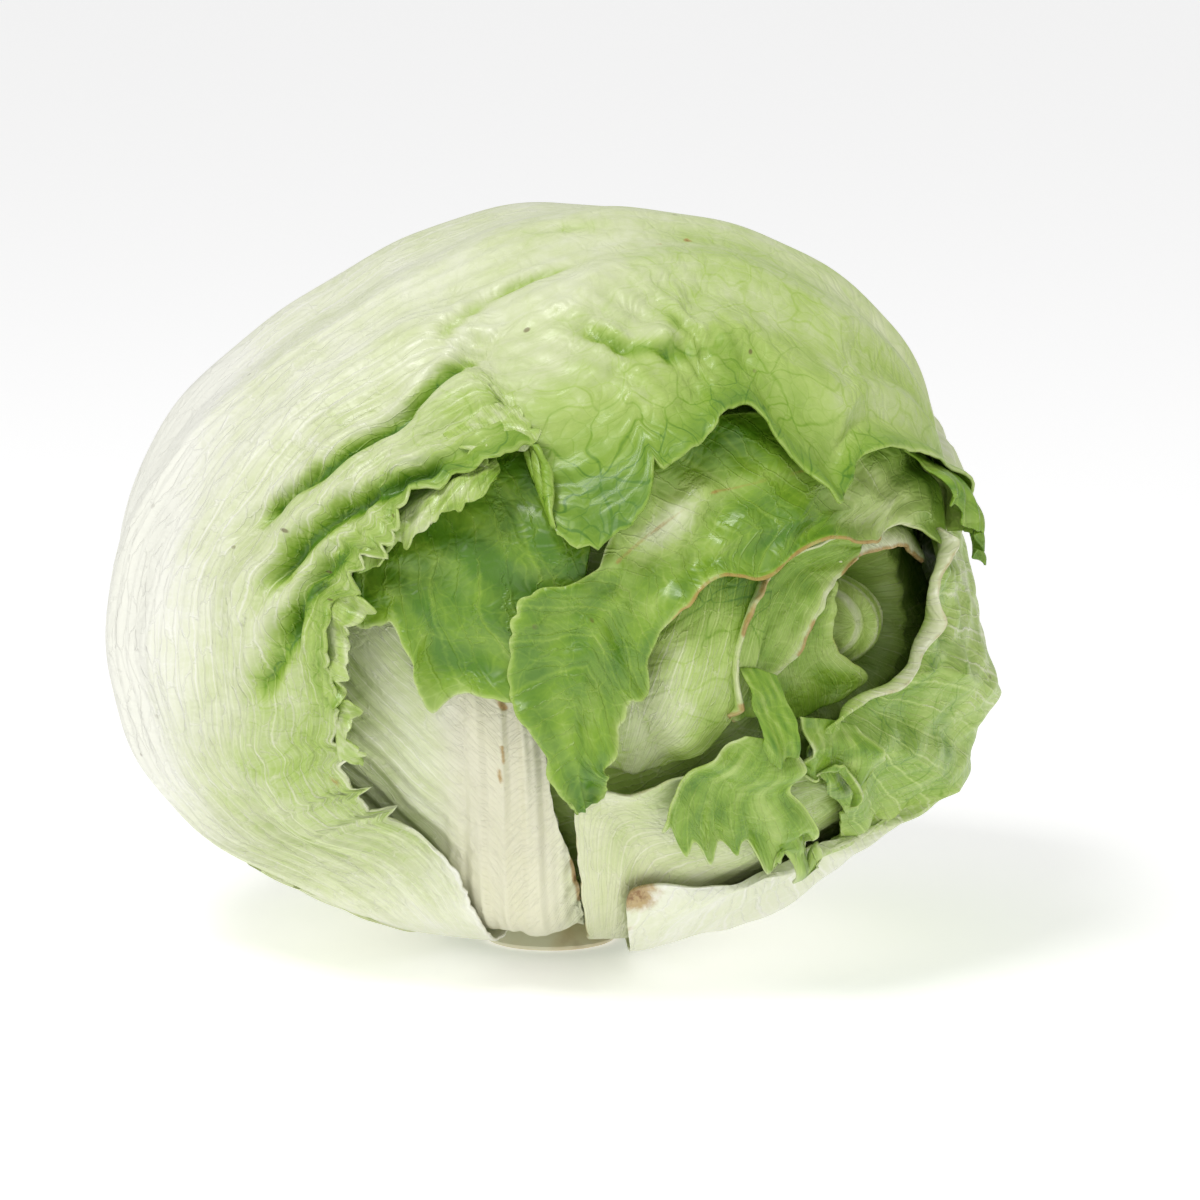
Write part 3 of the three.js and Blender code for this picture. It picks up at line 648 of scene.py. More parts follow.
crown_fold = Leaf(
    left=[
        (0, 36, -28), (0.08, 34.5, -26), (0.3, 34.5, -16), (0.5, 37, -5), (0.7, 43, 4.5),
        (0.9, 54, 9.5), (1, 61, 8.5),
    ],
    rib=[(0, 39, -27), (0.3, 40, -17), (0.5, 44, -7), (0.75, 49, 2), (1, 61, 6.5)],
    right=[
        (0, 42, -27), (0.15, 43, -20), (0.3, 47, -17), (0.45, 50, -14), (0.55, 51, -10), (0.75, 53, -4),
        (1, 60, 4),
    ],
    level=-4.5,
)
grow(
    "crown_leaf_fold", "leaf_crown_fold", crown_finish, crown_fold, (110, 44),
    lambda u, v, ways, inside, along, across: (
        0.82 - 0.3 * bell(inside, 1.8) + 0.06 * ripple(u * 3, v, 5),
        0.9 * bell(inside, 1.2) * smooth(ripple(along / 14, v * 0, 6), -0.5, 0.6),
        0.2 * bell(inside, 1.0),
    ),
    lambda u, v, ways, along, across: 5 * v + 1.5 * u,
    detail=lambda u, v, ways, inside, along, across, run: (
        (1.2 + 0.9 * np.sin(run / 3.4)) * bell(inside, 5) + 0.3 * ripple(along / 9, across / 6, 7)
    ),
    edge=lambda u, v, run: 0.7 * jagged(run, 4.5, 8),
    curls=((LEFT, 0.05, 1.03, 3.5, 120),),
)


# Back leaf: an outer leaf that grows from the far side of the stem and covers the back of the head.
# A broad white rib runs up its middle and branches into ribs that lean out to the margins.

outer_finish = leaf_finish("outer_leaf", ribs=0.15, net=0.075, net_turn=3.5, net_size=0.009, gloss=0.16)


def branching(count, lean):
    """Ribs that leave the stalk and run along the blade, leaning out to its margins."""
    return lambda u, v, ways, along, across: count * v * (1 + lean * u)


back_ribs = branching(13, -0.3)


back = Leaf(
    left=[(0, foot(229)), (0.3, -35, -45, -1), (0.6, -42, 0, -1), (1, -12, 50, -1)],
    rib=[(0, foot(272)), (0.3, 12, -45, -1), (0.6, 22, -5, -1), (1, 32, 44, -1)],
    right=[(0, foot(310)), (0.3, 55, -48, -1), (0.6, 77, -5, -1), (1, 70, 36, -1)],
    level=-2,
    ridge=(4, 13, 0.7),
    ribs=(5, 1.6),
)
grow(
    "back_leaf", "leaf_back", outer_finish, back, (150, 110),
    lambda u, v, ways, inside, along, across: (
        0.06 + 0.34 * smooth(u, 0.1, 0.8) + 0.14 * np.abs(v) + 0.05 * ripple(u * 3, v * 2, 9),
        0.0,
        0.5 * bell(across, 16) * (1 - smooth(u, 0.1, 0.6)),
    ),
    back_ribs,
    detail=lambda u, v, ways, inside, along, across, run: (
        0.3 * np.cos(math.tau * back_ribs(u, v, ways, along, across)) * smooth(u, 0.05, 0.2)
        + 0.5 * ripple(along / 26, across / 18, 10)
    ),
)


# Pale leaf: a glimpse of the smooth white-green leaf that lies under the green ones, between their gaps.

pale = Leaf(
    left=[(0, 11, -39), (0.5, 14, -20), (1, 24, 4)],
    rib=[(0, 18, -41), (0.5, 27, -18), (1, 33, 6)],
    right=[(0, 25, -39), (0.3, 36, -27), (0.6, 42, -10), (1, 44, 6)],
)
grow(
    "pale_leaf", "leaf_pale", outer_finish, pale, (70, 50),
    # Painted shade: the blade is tinted deeper green than its own white-green, standing in for the shade in
    # the gaps where it lies; it turns greener still towards its end.
    lambda u, v, ways, inside, along, across: (
        0.50 + 0.4 * smooth(u, 0.4, 1) + 0.12 * smooth(v, -0.2, 0.9) + 0.06 * ripple(u * 2, v, 11),
        0.0,
        0.0,
    ),
    lambda u, v, ways, along, across: 5 * v + 0.6 * u,
    detail=lambda u, v, ways, inside, along, across, run: 0.25 * ripple(along / 12, across / 9, 12),
)


# Stalk leaf: the front leaf, whose thick white stalk stands up the middle of the head, ridged lengthwise and
# scarred brown in places. Its thin blade spreads to the left, with curved veins fanning out of the stalk.

stalk_finish = leaf_finish("stalk_leaf", ribs=0.16, net=0.04, net_turn=3.0, net_size=0.012, gloss=0.16)
stalk = Leaf(
    left=[(0, foot(140)), (0.2, -34, -58), (0.4, -43, -43), (0.6, -48, -28), (0.8, -48, -12), (1, -38, 2)],
    rib=[(0, foot(105)), (0.25, -8, -56), (0.5, -8.5, -38), (0.75, -10, -18), (1, -13, 6)],
    right=[(0, foot(72)), (0.2, 6, -60), (0.4, 1.5, -45), (0.6, -0.5, -32), (0.8, -1, -18), (1, -1, 4)],
    level=-6.5,
    ridge=(5, 13, 0.75),
    ribs=(4, 0.5),
)


STALK_SCARS = [  # rubbed brown lines: from, to, width in mm
    ((-10.5, -23), (-8.5, -26), 0.9),
    ((-9, -33), (-8.5, -36), 0.6),
    ((-9.5, -37.5), (-9, -39.5), 0.8),
    ((3.5, -41), (5, -55), 0.6),
    ((5, -56), (6.5, -66), 0.9),
]


def stalk_relief(u, v, ways, inside, along, across, run):
    core = np.exp(-((across / 11) ** 4))
    grooves = 0.45 * np.cos(math.tau * across / 5.2) + 0.2 * np.cos(math.tau * across / 2.1 + 1)
    step = 1.2 * smooth(across, 1.0, 3.0) * (1 - smooth(across, 8, 12))
    fan = 0.35 * np.cos(math.tau * (along - 1.5 * np.abs(across)) / 7.5) * (1 - core)
    ripples = 0.4 * ripple(along / 22, across / 15, 13) * (1 - core)
    return (core * (grooves * smooth(u, 0.02, 0.15) + step) + fan + ripples) * (1 - smooth(u, 0.7, 0.85))


def stalk_tint(u, v, ways, inside, along, across):
    core = np.exp(-((across / 12) ** 4))
    scars = 0
    for start, end, size in STALK_SCARS:
        scars = scars + streak(ways, start, end, size)
    return (
        0.40 - 0.30 * core + 0.05 * ripple(u * 4, v * 3, 14),
        np.clip(0.85 * scars + 0.4 * bell(inside, 0.6) * (v > 0) * smooth(u, 0.05, 0.2), 0, 1),
        0.75 * core,
    )


grow(
    "stalk_leaf", "leaf_stalk", stalk_finish, stalk, (170, 120),
    stalk_tint,
    pinnate(1.5, 4.2),
    detail=stalk_relief,
    edge=lambda u, v, run: 0.5 * jagged(run, 5, 15),
    thick=0.8,
)


# Lower right leaf: it leaves the stem beside the stalk and sweeps out to the right, white at its foot, with
# its upper edge torn and standing a little free.

lower_right = Leaf(
    left=[
        (0, foot(70)), (0.15, 6, -56), (0.28, 5, -43), (0.36, 8, -40), (0.47, 16, -41), (0.58, 24, -39),
        (0.75, 38, -36), (0.9, 52, -36), (1, 62, -36),
    ],
    rib=[(0, foot(52)), (0.25, 25, -62), (0.5, 41, -55), (0.75, 57, -47), (1, 70, -39)],
    right=[(0, foot(30)), (0.25, 38, -67), (0.5, 54, -59), (0.75, 67, -50), (1, 76, -42)],
    level=-3,
    ridge=(1.2, 11, 0.8),
    ribs=(4, 0.5),
)
grow(
    "lower_right_leaf", "leaf_lower_right", outer_finish, lower_right, (150, 90),
    # Painted shade: the blade is tinted a deeper green than its own whitish colour, more so towards its end,
    # standing in for the hanging tip's shadow.
    lambda u, v, ways, inside, along, across: (
        0.42 + 0.22 * smooth(u, 0.3, 0.95) + 0.05 * ripple(u * 3, v * 2, 16),
        np.clip(0.6 * bell(inside, 0.8) * (v < 0) + 0.5 * spot(ways, 40, -53, 1.2), 0, 1),
        0.3 * (1 - smooth(u, 0.2, 0.6)),
    ),
    branching(9, -0.3),
    detail=lambda u, v, ways, inside, along, across, run: (
        (0.8 + 0.6 * np.sin(run / 4)) * bell(inside, 5) * (v < 0) * smooth(u, 0.1, 0.3)
        + 0.35 * ripple(along / 20, across / 12, 17) * smooth(u, 0.1, 0.3)
    ),
    edge=lambda u, v, run: 0.9 * jagged(run, 5, 18) * (v < 0),
    thick=0.7,
)


# Right leaf: a loose outer leaf round the right side. Its foot is a white, wet flap beside the stem, torn
# and brown at the corner. Higher up it is green and puckered in folds that fan out to its dried margin.

right_leaf = Leaf(
    left=[
        (0, foot(50)), (0.07, 15, -63.5), (0.13, 17, -58.5), (0.24, 31, -58), (0.34, 49, -57),
        (0.41, 59, -53), (0.47, 57, -45), (0.52, 51.5, -38), (0.58, 49, -31), (0.66, 57, -23),
        (0.75, 66, -17), (0.83, 70, -11), (0.91, 72, -1), (1, 75, 10),
    ],
    rib=[(0, foot(2)), (0.25, 58, -55), (0.5, 77, -35), (0.75, 85, -14), (1, 85, 12)],
    right=[(0, foot(318)), (0.25, 44, -52, -1), (0.5, 58, -28, -1), (0.75, 64, 0, -1), (1, 64, 26, -1)],
    level=-2.2,
    gap=1.8,
    ridge=(3, 10, 0.6),
    ribs=(5, 1.6),
)


def fan_bearing(ways):
    """Bearing in degrees and distance in mm from the point that the right leaf's folds fan out of."""
    x = ways[:, 0] * HALF_WIDTH - 45
    z = ways[:, 1] * HALF_HEIGHT + 20
    return np.degrees(np.arctan2(z, x)), np.hypot(x, z)


def right_relief(u, v, ways, inside, along, across, run):
    bearing, away = fan_bearing(ways)
    fan = (1 - np.abs(np.sin(np.radians(bearing * 5.2) + 0.5 * np.sin(away / 6)))) * 2.8 - 0.9
    fan = fan * smooth(away, 8, 20) * (1 - smooth(away, 34, 52))
    fan = fan * smooth(u, 0.36, 0.5) * smooth(inside, 0, 5)
    rim = (1 + np.sin(run / 2.4)) * bell(inside, 4.0) * (v < 0) * smooth(u, 0.4, 0.55)
    return fan + rim + 0.6 * ripple(along / 14, across / 12, 20) * smooth(u, 0.1, 0.3)


def right_tint(u, v, ways, inside, along, across):
    torn = 1.3 * spot(ways, 15.5, -60, 6) + 0.7 * spot(ways, 13, -67, 5)
    rim = bell(inside, 3.0) * (v < 0) * smooth(u, 0.62, 0.7)
    # Painted sheen: the right limb is tinted paler, standing in for the glossy highlights on it.
    painted_limb_sheen = 0.2 * smooth(ways[:, 0], 0.86, 0.98) * smooth(u, 0.4, 0.6)
    return (
        0.16 + 0.60 * smooth(u, 0.22, 0.5) + 0.06 * ripple(u * 4, v * 3, 21) - 0.35 * rim - painted_limb_sheen,
        np.clip(torn + 0.55 * bell(inside, 1.0) * (v < 0) * smooth(u, 0.6, 0.7), 0, 1.2),
        0.3 * rim,
    )


grow(
    "right_leaf", "leaf_right", outer_finish, right_leaf, (260, 150),
    right_tint,
    lambda u, v, ways, along, across: fan_bearing(ways)[0] / 9 + v,
    detail=right_relief,
    edge=lambda u, v, run: (0.5 + 0.7 * smooth(u, 0.4, 0.5)) * jagged(run, 5, 22),
    curls=((LEFT, 0.6, 1.03, 5.0, 120),),
    left_share=0.6,
)


# Middle leaf: a fresh green leaf seen through the gap in the wrapper, in its shade. Its lower margin is
# free, wavy and cut into points, and hangs over the stalk.

green_finish = leaf_finish("green_leaf", ribs=0.07, net=0.05, net_turn=0.0, net_size=0.007, gloss=0.22)
middle = Leaf(
    left=[
        (0, -38.5, -2.5), (0.1, -36, -9), (0.22, -30, -8.5), (0.3, -27.5, -12.5), (0.4, -25, -16),
        (0.46, -24.5, -20), (0.54, -21.5, -25), (0.6, -17.5, -22.5), (0.75, -7, -23), (0.85, -3, -25),
        (1, 3, -28),
    ],
    rib=[(0, -37, 4), (0.5, -16, 5), (1, 8, 3)],
    right=[(0, -35, 10), (0.3, -26, 22), (0.6, -8, 34), (1, 14, 36)],
    level=-5.5,
    ribs=(4, 0.7),
)


def middle_veins(u, v, ways, along, across):
    """Side veins that cross the middle leaf at a slant."""
    return (along * 0.9 + 0.35 * across) / 8.5


grow(
    "middle_leaf", "leaf_middle", green_finish, middle, (150, 110),
    lambda u, v, ways, inside, along, across: (
        # Painted highlight: a thin band along the margin is tinted paler, as thin edges catch the light.
        0.95 - 0.14 * smooth(-v, 0.5, 1.0) + 0.08 * ripple(u * 3, v * 2, 23) - 0.25 * bell(inside, 0.7),
        0.25 * spot(ways, -12, -12, 1.2) + 0.35 * bell(inside, 0.5) * (v < 0),
        0.0,
    ),
    middle_veins,
    detail=lambda u, v, ways, inside, along, across, run: (
        (2 + 1.5 * np.sin(run / 3.4 + np.sin(run / 7))) * bell(inside, 7) * (v < 0)
        + 1.1 * ripple(along / 15 + across / 40, across / 45, 24) * smooth(-v, -0.3, 0.4)
        + 0.3 * np.cos(math.tau * middle_veins(u, v, ways, along, across))
    ),
    edge=lambda u, v, run: 1.6 * jagged(run, 5, 25) * (v < 0),
    thick=0.5,
)


# Long leaf: it wraps over the crown like a collar, sweeps across the front and hangs down to a point.
# Its edges have dried to thin brown lines.

long_leaf = Leaf(
    left=[
        (0, 78, 7), (0.06, 79, 18), (0.12, 75, 28), (0.22, 62, 29), (0.36, 45, 32), (0.48, 27, 30),
        (0.56, 15, 16), (0.61, 11, 5), (0.66, 6, 0), (0.71, -1, -2), (0.75, -4.5, -5), (0.8, -6, -12),
        (0.86, -7, -22), (0.91, -3, -28), (0.96, 1, -36), (1, 4.5, -42),
    ],
    rib=[
        (0, 77, 7), (0.1, 70, 16), (0.2, 61, 14), (0.35, 43, 10), (0.5, 26, 4), (0.65, 12, -6),
        (0.8, 7, -18), (0.9, 5, -29), (1, 7, -41.5),
    ],
    right=[
        (0, 76, 6.5), (0.1, 67, 10.5), (0.18, 60, 6.5), (0.28, 50, 7), (0.4, 39, 0), (0.47, 32.5, 0.5),
        (0.53, 28, -2.5), (0.6, 23, -8.5), (0.68, 20, -14.5), (0.75, 19, -22), (0.82, 15, -25),
        (0.9, 11, -34.5), (0.95, 12, -37), (1, 10, -40.5),
    ],
    level=-3.5,
    ribs=(2.5, 0.6),
)
long_veins = pinnate(0.9, 8.0)


def long_free(u, v):
    """Where the long leaf's margin is free to ruffle, not tucked under the wrapper."""
    return smooth(u, 0.04, 0.1) * np.where(v < 0, smooth(u, 0.52, 0.6), 1)


LONG_FOLD = [(13, 3), (19, 8), (30, 16), (45, 19.5), (58, 23)]  # a dried crease, once the leaf's edge


def long_fold(ways, size):
    lines = [streak(ways, start, end, size) for start, end in zip(LONG_FOLD, LONG_FOLD[1:])]
    return np.max(lines, axis=0)


def long_tint(u, v, ways, inside, along, across):
    brown = 0.9 * bell(inside, 0.7) * (v > 0) * smooth(u, 0.1, 0.2) * (1 - smooth(u, 0.55, 0.68))
    brown = brown + 0.75 * long_fold(ways, 0.7) * smooth(ripple(along / 12, v * 0, 40), -0.7, 0.3)
    light = 0.24 * spot(ways, 22, 9, 9) + 0.28 * spot(ways, 64, 15, 15) + 0.1 * spot(ways, 14, -8, 10)
    light = light + 0.18 * long_fold(ways, 3.5)
    return (
        # Painted highlight: a thin band along the margin is tinted paler, as thin edges catch the light.
        0.92 - light + 0.08 * ripple(u * 5, v, 26) - 0.25 * bell(inside, 0.7),
        np.clip(brown + 0.3 * spot(ways, 7, -12, 0.9), 0, 1),
        0.15 * spot(ways, 66, 14, 14),
    )


grow(
    "long_leaf", "leaf_long", green_finish, long_leaf, (280, 80),
    long_tint,
    long_veins,
    detail=lambda u, v, ways, inside, along, across, run: (
        (1.3 + 1.2 * np.sin(run / 3.6 + np.sin(run / 9))) * bell(inside, 5) * long_free(u, v)
        + 0.8 * ripple(along / 19, across / 14, 27) * smooth(u, 0.05, 0.15) + 1.3 * long_fold(ways, 3.0)
        + 0.3 * np.cos(math.tau * long_veins(u, v, ways, along, across))
    ),
    edge=lambda u, v, run: (0.5 + 1.1 * smooth(u, 0.55, 0.75)) * jagged(run, 4.5, 28),
    curls=((RIGHT_SIDE, 0.12, 0.56, 3.0, 70),),
    thick=0.55,
)


# Hanging tips: the torn end of a crown leaf, fanned by its veins and cut into points, and a smaller ruffle
# beside it.

small_tip = Leaf(
    left=[(0, 46, -25), (1, 45, -40)],
    rib=[(0, 52, -26), (1, 50, -42)],
    right=[(0, 57, -27), (0.6, 60, -34), (1, 55, -42)],
    level=-3,
)
hanging_tip = Leaf(
    left=[(0, 36, -28.5), (0.25, 30, -32), (0.5, 26, -37), (0.75, 22, -42), (1, 20, -47)],
    rib=[(0, 39, -28.5), (0.5, 35, -42), (1, 37, -56)],
    right=[(0, 42, -28), (0.25, 44, -32), (0.5, 43.5, -38), (0.7, 47, -41), (0.85, 48.5, -46), (1, 49, -57)],
    level=-2,
)
for name, node, leaf, cells, seed in (
    ("small_hanging_tip", "leaf_hanging_small", small_tip, (70, 70), 29),
    ("hanging_tip", "leaf_hanging", hanging_tip, (120, 110), 31),
):
    grow(
        name, node, green_finish, leaf, cells,
        lambda u, v, ways, inside, along, across, seed=seed: (
            0.84 + 0.07 * ripple(u * 3, v * 2, seed) - 0.12 * bell(np.abs(v) - 0.45, 0.08)
            # Painted highlight: a thin band along the margins and the tip is tinted paler, as thin edges
            # catch the light.
            - 0.25 * np.maximum(bell(inside, 0.7), smooth(u, 0.97, 1)),
            0.2 * bell(inside, 0.5),
            0.0,
        ),
        branching(5, 0),
        detail=lambda u, v, ways, inside, along, across, run, seed=seed: (
            (1.8 + 1.6 * np.sin(run / 3.2)) * bell(inside, 6) * smooth(u, 0.1, 0.3)
            + (1.0 + 1.2 * np.cos(3.2 * math.pi * v)) * smooth(u, 0.3, 1)
        ),
        edge=lambda u, v, run, seed=seed: 1.8 * jagged(run, 5, seed + 1) * smooth(u, 0.2, 0.5),
        tip=lambda across, seed=seed: (
            1.6 * jagged(across + 40, 3.5, seed + 2) - 2.5 + 2.5 * np.cos(math.tau * (across + 3) / 8.5)
            - 8 * bell(across + 1, 5)
        ),
        thick=0.5,
    )


# Wrapper: the big loose leaf that goes up the left side from the stem, over the top and down the right.
# Long pale ribs run its whole length. Its front margin is green, ruffled and torn, with a tongue hanging
# over the middle, and deep creases run in from it.

wrapper = Leaf(
    left=[
        (0, foot(112)), (0.08, -16, -60), (0.14, -23.5, -48.5), (0.18, -34, -43), (0.22, -37.5, -37),
        (0.255, -40, -31), (0.285, -37.5, -25), (0.31, -38.5, -20), (0.345, -39.5, -12),
        (0.385, -38, -5), (0.42, -34, -2), (0.45, -31, 3), (0.475, -29, 8), (0.52, -24, 13),
        (0.56, -14, 18), (0.59, -4, 25), (0.61, 0.5, 20), (0.63, 1, 13), (0.65, 3, 6), (0.67, 11, 7),
        (0.69, 18, 14), (0.71, 22, 20), (0.74, 29, 26), (0.765, 31, 29), (0.79, 36, 30.5),
        (0.82, 41, 24), (0.845, 47, 18), (0.86, 50.5, 13), (0.875, 54.5, 20), (0.895, 59, 23),
        (0.93, 70, 22), (0.95, 75, 20), (0.97, 79, 14), (1, 82, 9),
    ],
    rib=[
        (0, foot(165)), (0.11, -45, -60), (0.2, -68, -45), (0.29, -80, -20), (0.37, -82, 5),
        (0.45, -72, 30), (0.54, -52, 52), (0.65, -18, 66), (0.75, 15, 70), (0.85, 45, 62),
        (0.94, 70, 42), (1, 86, 12),
    ],
    right=[
        (0, foot(226)), (0.15, -34, -55, -1), (0.3, -48, -28, -1), (0.45, -42, 6, -1),
        (0.6, -20, 35, -1), (0.75, 10, 46, -1), (0.9, 50, 36, -1), (1, 84, 10, -1),
    ],
    level=-2.6,
    ridge=(2.5, 16, 0.8),
    ribs=(6, 2),
    folds=[
        ((-57, 14), (-33, 33), 5, -3),
        ((-33, 33), (-10, 50), 5, -3),
        ((-50, 2), (-22, 20), 5, -2),
        ((-74, -14), (-46, -46), 7, 2.5),
        ((-10, 58), (12, 63), 5, -1.5),
    ],
)
CREASES = [  # deep valleys with a lip along the upper side: width in degrees, depth in mm, their course
    (1.5, 3.3, [(-60, 9), (-52, 17), (-44, 22), (-30, 33), (-14, 47)]),
    (1.5, 2.9, [(-55, -4), (-48, 6), (-40, 13), (-28, 18), (-16, 22)]),
    (1.6, 2.4, [(-52, -14), (-46, -3), (-38, 5), (-33, 8)]),
    (1.5, 2.0, [(-55, -24), (-50, -12), (-45, -4)]),
    (1.1, 1.4, [(-14, 56), (-4, 60), (6, 62)]),
    (0.9, 1.0, [(-2, 68), (10, 68)]),
    (1.3, 1.5, [(4, 50), (14, 44), (22, 42), (30, 43)]),
    (1.2, 1.3, [(20, 52), (28, 43)]),
    (1.1, 1.0, [(-25, 47), (-10, 58)]),
]


def creases(ways):
    """How deep in a crease each direction is, and how far its lip stands up there."""
    valley = 0
    lip = 0
    for width, depth, course in CREASES:
        spots = [on_head(*place_on_course) for place_on_course in course]
        near = np.full(len(ways), 180.0)
        side = np.zeros(len(ways))
        for first, last in zip(spots, spots[1:]):
            away = to_arc(ways, first, last)
            side = np.where(away < near, np.sign(ways @ np.cross(first, last)), side)
            near = np.minimum(near, away)
        taper = 1 - smooth(np.minimum(angle_to(ways, spots[0]), angle_to(ways, spots[-1])), 0.09, 0.0)
        valley = valley + depth * taper * bell(near, width)
        lip = lip + 0.5 * depth * taper * np.exp(-((side * near / width - 1.9) ** 2) / 1.2)
    return valley, lip


def frilled(u):
    """Where along its front margin the wrapper is ruffled."""
    side = smooth(u, 0.24, 0.33) * (1 - smooth(u, 0.57, 0.62))
    return side + 0.4 * smooth(u, 0.62, 0.68) + 0.4 * smooth(u, 0.7, 0.76)


WRAPPER_RIBS = 15  # to each side of the middle one


def wrapper_lean(u, v):
    """Where each point lies between the middle rib and a margin, as the long ribs sway along the wrapper."""
    return v * (1 + 0.15 * np.sin(4 * u))


def wrapper_relief(u, v, ways, inside, along, across, run):
    lean = wrapper_lean(u, v)
    ribs = 0.36 * np.cos(math.tau * WRAPPER_RIBS * lean) * (1 - 0.75 * smooth(u, 0.55, 0.8))
    ribs = ribs + 0.2 * np.cos(math.tau * 34 * lean + 2 * np.sin(9 * u)) * (1 - smooth(u, 0.5, 0.75))
    course = inside / 7.5 + 0.5 * ripple(run / 45, inside / 60, 39)
    front = v < 0
    pleat = (1 - np.abs(np.sin(math.pi * course))) * bell(inside, 20) * front * (1 - smooth(u, 0.57, 0.61))
    ruffle = (1 + np.sin(run / 1.9 + 1.2 * np.sin(run / 7))) * bell(inside, 4) * front
    lift = (1.2 + 1.5 * smooth(u, 0.4, 0.46) * frilled(u)) * bell(inside, 8) * front * smooth(u, 0.1, 0.2)
    valley, lip = creases(ways)
    valleys = (lip - valley) * smooth(inside, 0.5, 6)
    crumple = 1.3 * ripple(along / 9, across / 8, 33) * spot(ways, 17, 46, 17)
    swells = 0.4 * ripple(along / 42, across / 26, 34) * smooth(u, 0.05, 0.2)
    frill = (2.2 * pleat + 0.9 * ruffle) * frilled(u)
    return ribs * smooth(u, 0.03, 0.12) + frill + lift + valleys + crumple + swells


def wrapper_edge(u, v, run):
    torn = jagged(run, 3.4, 35)
    spikes = 4.5 * np.maximum(0, np.sin(run / 1.5 + 1.5 * np.sin(run / 4))) ** 6
    spikes = spikes * smooth(u, 0.13, 0.16) * (1 - smooth(u, 0.27, 0.3))
    deep = 0.8 + 1.3 * smooth(u, 0.28, 0.36) * (1 - smooth(u, 0.7, 0.75))
    deep = deep + 2.2 * smooth(u, 0.41, 0.44) * (1 - smooth(u, 0.54, 0.57))
    torn = torn - 2.0 * bell(u - 0.699, 0.004)
    return np.where(v < 0, deep * torn + spikes, 0.8 * torn)


WRAPPER_SPECKS = [  # brown specks: strength, place seen from the front, size in mm
    (0.9, -40, -38, 2.0),
    (0.5, -60, -52, 1.4),
    (0.5, -56, -53, 1.0),
    (1.4, 26.6, 65, 0.8),
    (1.2, 21, 64, 0.6),
]


def wrapper_tint(u, v, ways, inside, along, across):
    x, up = ways[:, 0], ways[:, 1]
    base = 0.43 + 0.24 * x - 0.4 * smooth(-x, 0.68, 0.97)
    base = base - 0.22 * smooth(x, 0.5, 0.85) - 0.06 * smooth(up, 0.2, 0.8)
    near_front = bell(inside, 30) * (v < 0) * smooth(u, 0.08, 0.3)
    fresh = bell(inside, 6) * (v < 0) * frilled(u)
    valley, lip = creases(ways)
    tongue = (0.2 * spot(ways, 10, 20, 17) + 0.12 * spot(ways, 8, 11, 9)) * (v < 0)
    # Painted shade: the lower left is tinted deeper green, standing in for the shade away from the light
    # above.
    low = 0.1 * smooth(-up, 0.1, 0.5) * smooth(x, -0.95, -0.6)
    # Painted shade: the creases' valleys are tinted deeper green, and their lips a little paler.
    green = base + low + 0.2 * near_front + tongue + 0.2 * fresh + 0.19 * valley - 0.05 * lip
    # Painted highlight: the last term tints a thin band along the margin paler, as thin edges catch the
    # light.
    green = green - 0.3 * (1 - smooth(u, 0.04, 0.15)) - 0.2 * bell(inside, 0.7)
    brown = 0
    for strength, x_mm, z_mm, size in WRAPPER_SPECKS:
        brown = brown + strength * spot(ways, x_mm, z_mm, size)
    ribbed = 1 - 0.85 * smooth(u, 0.48, 0.64) * smooth(-v, -0.4, 0.1)
    return (green + 0.04 * ripple(u * 7, v * 3, 36), np.clip(brown, 0, 1), 0.0, ribbed)


grow(
    "wrapper_leaf", "leaf_wrapper", outer_finish, wrapper, (370, 128),
    wrapper_tint,
    lambda u, v, ways, along, across: WRAPPER_RIBS * wrapper_lean(u, v),
    detail=wrapper_relief,
    edge=wrapper_edge,
    left_share=0.64,
    thick=0.6,
)


# Torn flaps: scraps of the wrapper's front margin and of the crown's fold, folded back over what lies below.
# They are thin, bright green and ragged.

FLAPS = [  # name, left margin, rib and right margin from root to tip, seed
    ("upper_flap", ((-21, 29), (-11.5, 20)), ((-13, 33), (-7, 21)), ((-7, 34), (-0.5, 25)), 41),
    ("lower_flap", ((-33, 13), (-34.5, 0)), ((-21, 19), (-22, 7)), ((-10, 23), (-8, 17)), 42),
    ("side_flap", ((-44, -20), (-36, -24)), ((-43, -9), (-34, -12)), ((-38, 1), (-30, -5)), 43),
    ("low_flap", ((-40, -33), (-33, -34)), ((-40, -27), (-33, -28)), ((-40, -21), (-34, -22)), 44),
    ("frill_flap", ((67, 25), (72, 13)), ((75, 25), (79, 8)), ((80, 22), (85, 3)), 45),
    ("crown_flap", ((37, -17), (38, -31)), ((40, -17), (40, -33)), ((43, -18), (42, -31)), 46),
]
for name, left, rib, right, seed in FLAPS:
    on_crown = name == "crown_flap"
    flap = Leaf(*([(0, *root), (1, *end)] for root, end in (left, rib, right)), gap=0.5)
    grow(
        name,
        "leaf_crown_fold" if on_crown else "leaf_wrapper",
        green_finish,
        flap,
        (60, 70),
        lambda u, v, ways, inside, along, across, seed=seed: (
            0.86 + 0.1 * ripple(u * 2, v * 2, seed) - 0.3 * bell(across, 16) * (ways[:, 0] < 0.1),
            0.12 * np.maximum(bell(inside, 0.8), smooth(u, 0.88, 1)),
            0.0,
        ),
        branching(4, 0),
        detail=lambda u, v, ways, inside, along, across, run, seed=seed: (
            (1.7 + 1.8 * ripple(across / 8, along / 20, seed)) * smooth(u, 0.15, 1)
            - 2.0 * (1 - smooth(u, 0, 0.3))
        ),
        edge=lambda u, v, run, seed=seed: 1.2 * jagged(run, 3, seed),
        tip=lambda across, seed=seed: 2.6 * jagged(across + 40, 2.6, seed + 9) - 1.0,
        thick=0.45,
    )


# Base leaf: what is left of the outermost leaf, broken off short under the left side. It is pale and wet.

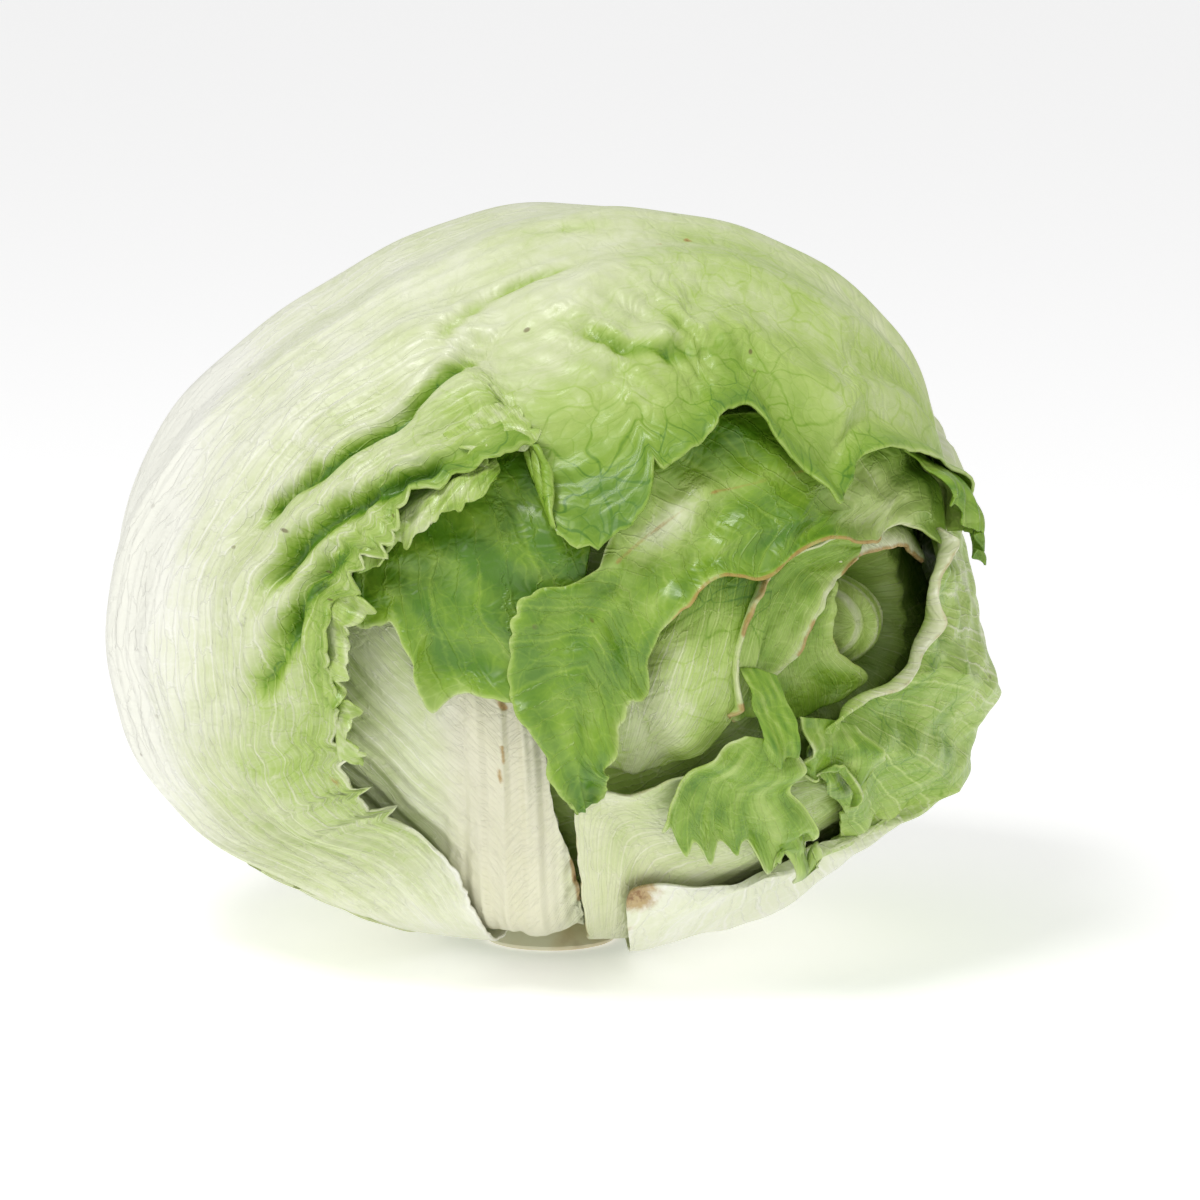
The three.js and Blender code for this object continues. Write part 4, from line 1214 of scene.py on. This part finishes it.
base_left = Leaf(
    left=[(0, foot(150)), (0.4, -36, -67), (0.7, -49, -61), (1, -60, -54)],
    rib=[(0, foot(178)), (0.5, -44, -64), (1, -58, -55)],
    right=[(0, foot(215)), (0.5, -37, -60, -1), (1, -54, -50, -1)],
    gap=-0.6,
)
grow(
    "base_leaf", "leaf_base_left", outer_finish, base_left, (90, 70),
    lambda u, v, ways, inside, along, across: (
        0.28 + 0.15 * bell(inside, 4) + 0.06 * ripple(u * 3, v * 2, 37),
        0.4 * bell(inside, 0.9),
        0.2 * (1 - u),
    ),
    branching(7, 0),
    detail=lambda u, v, ways, inside, along, across, run: (
        0.3 * np.sin(run / 3) * bell(inside, 5) * smooth(u, 0.2, 0.4)
    ),
    edge=lambda u, v, run: 0.9 * jagged(run, 4, 38),
)


# Studio: a plain pale floor that runs back without a horizon, broad soft light, and the camera where the
# photograph was taken, a little above the head.

bpy.ops.mesh.primitive_plane_add(size=40)
floor = bpy.context.object
floor.name = "floor"
floor_finish, sap = new_finish("pale_floor")
paint_on_floor = {
    "Base Color": (0.9, 0.9, 0.9, 1),
    "Roughness": 0.7,
    "Emission Color": (1, 1, 1, 1),
    "Emission Strength": 0.38,
}
shader = sap.node("BsdfPrincipled", {}, paint_on_floor)
sap.node("OutputMaterial", {}, {"Surface": shader})
floor.data.materials.append(floor_finish)

world = bpy.context.scene.world or bpy.data.worlds.new("studio")
bpy.context.scene.world = world
world.use_nodes = True
world.node_tree.nodes["Background"].inputs["Color"].default_value = (1, 1, 1, 1)
world.node_tree.nodes["Background"].inputs["Strength"].default_value = 0.55


def soft_light(name, spot_on, size, power):
    lamp = bpy.data.lights.new(name, "AREA")
    lamp.size = size
    lamp.energy = power
    piece = bpy.data.objects.new(name, lamp)
    bpy.context.collection.objects.link(piece)
    piece.location = spot_on
    aim = CENTRE / 1000 - np.array(spot_on)
    piece.rotation_euler = [float(a) for a in Vector(aim).to_track_quat("-Z", "Y").to_euler()]


soft_light("key_light", (-0.35, -0.5, 1.0), 0.35, 5.5)
soft_light("fill_light", (0.8, -0.8, 0.4), 0.9, 1.0)

DISTANCE = 1.2
FRAME_WIDTH = 0.240
aim = CENTRE / 1000 + RIGHT * 0.010 - UP * 0.004
lens = bpy.data.cameras.new("camera")
lens.sensor_width = 36
lens.lens = 36 * DISTANCE / FRAME_WIDTH
lens.clip_end = 100
camera = bpy.data.objects.new("camera", lens)
bpy.context.collection.objects.link(camera)
camera.location = aim + NEAR * DISTANCE
camera.rotation_euler = (math.pi / 2 - FRONT_TILT, 0, 0)
bpy.context.scene.camera = camera
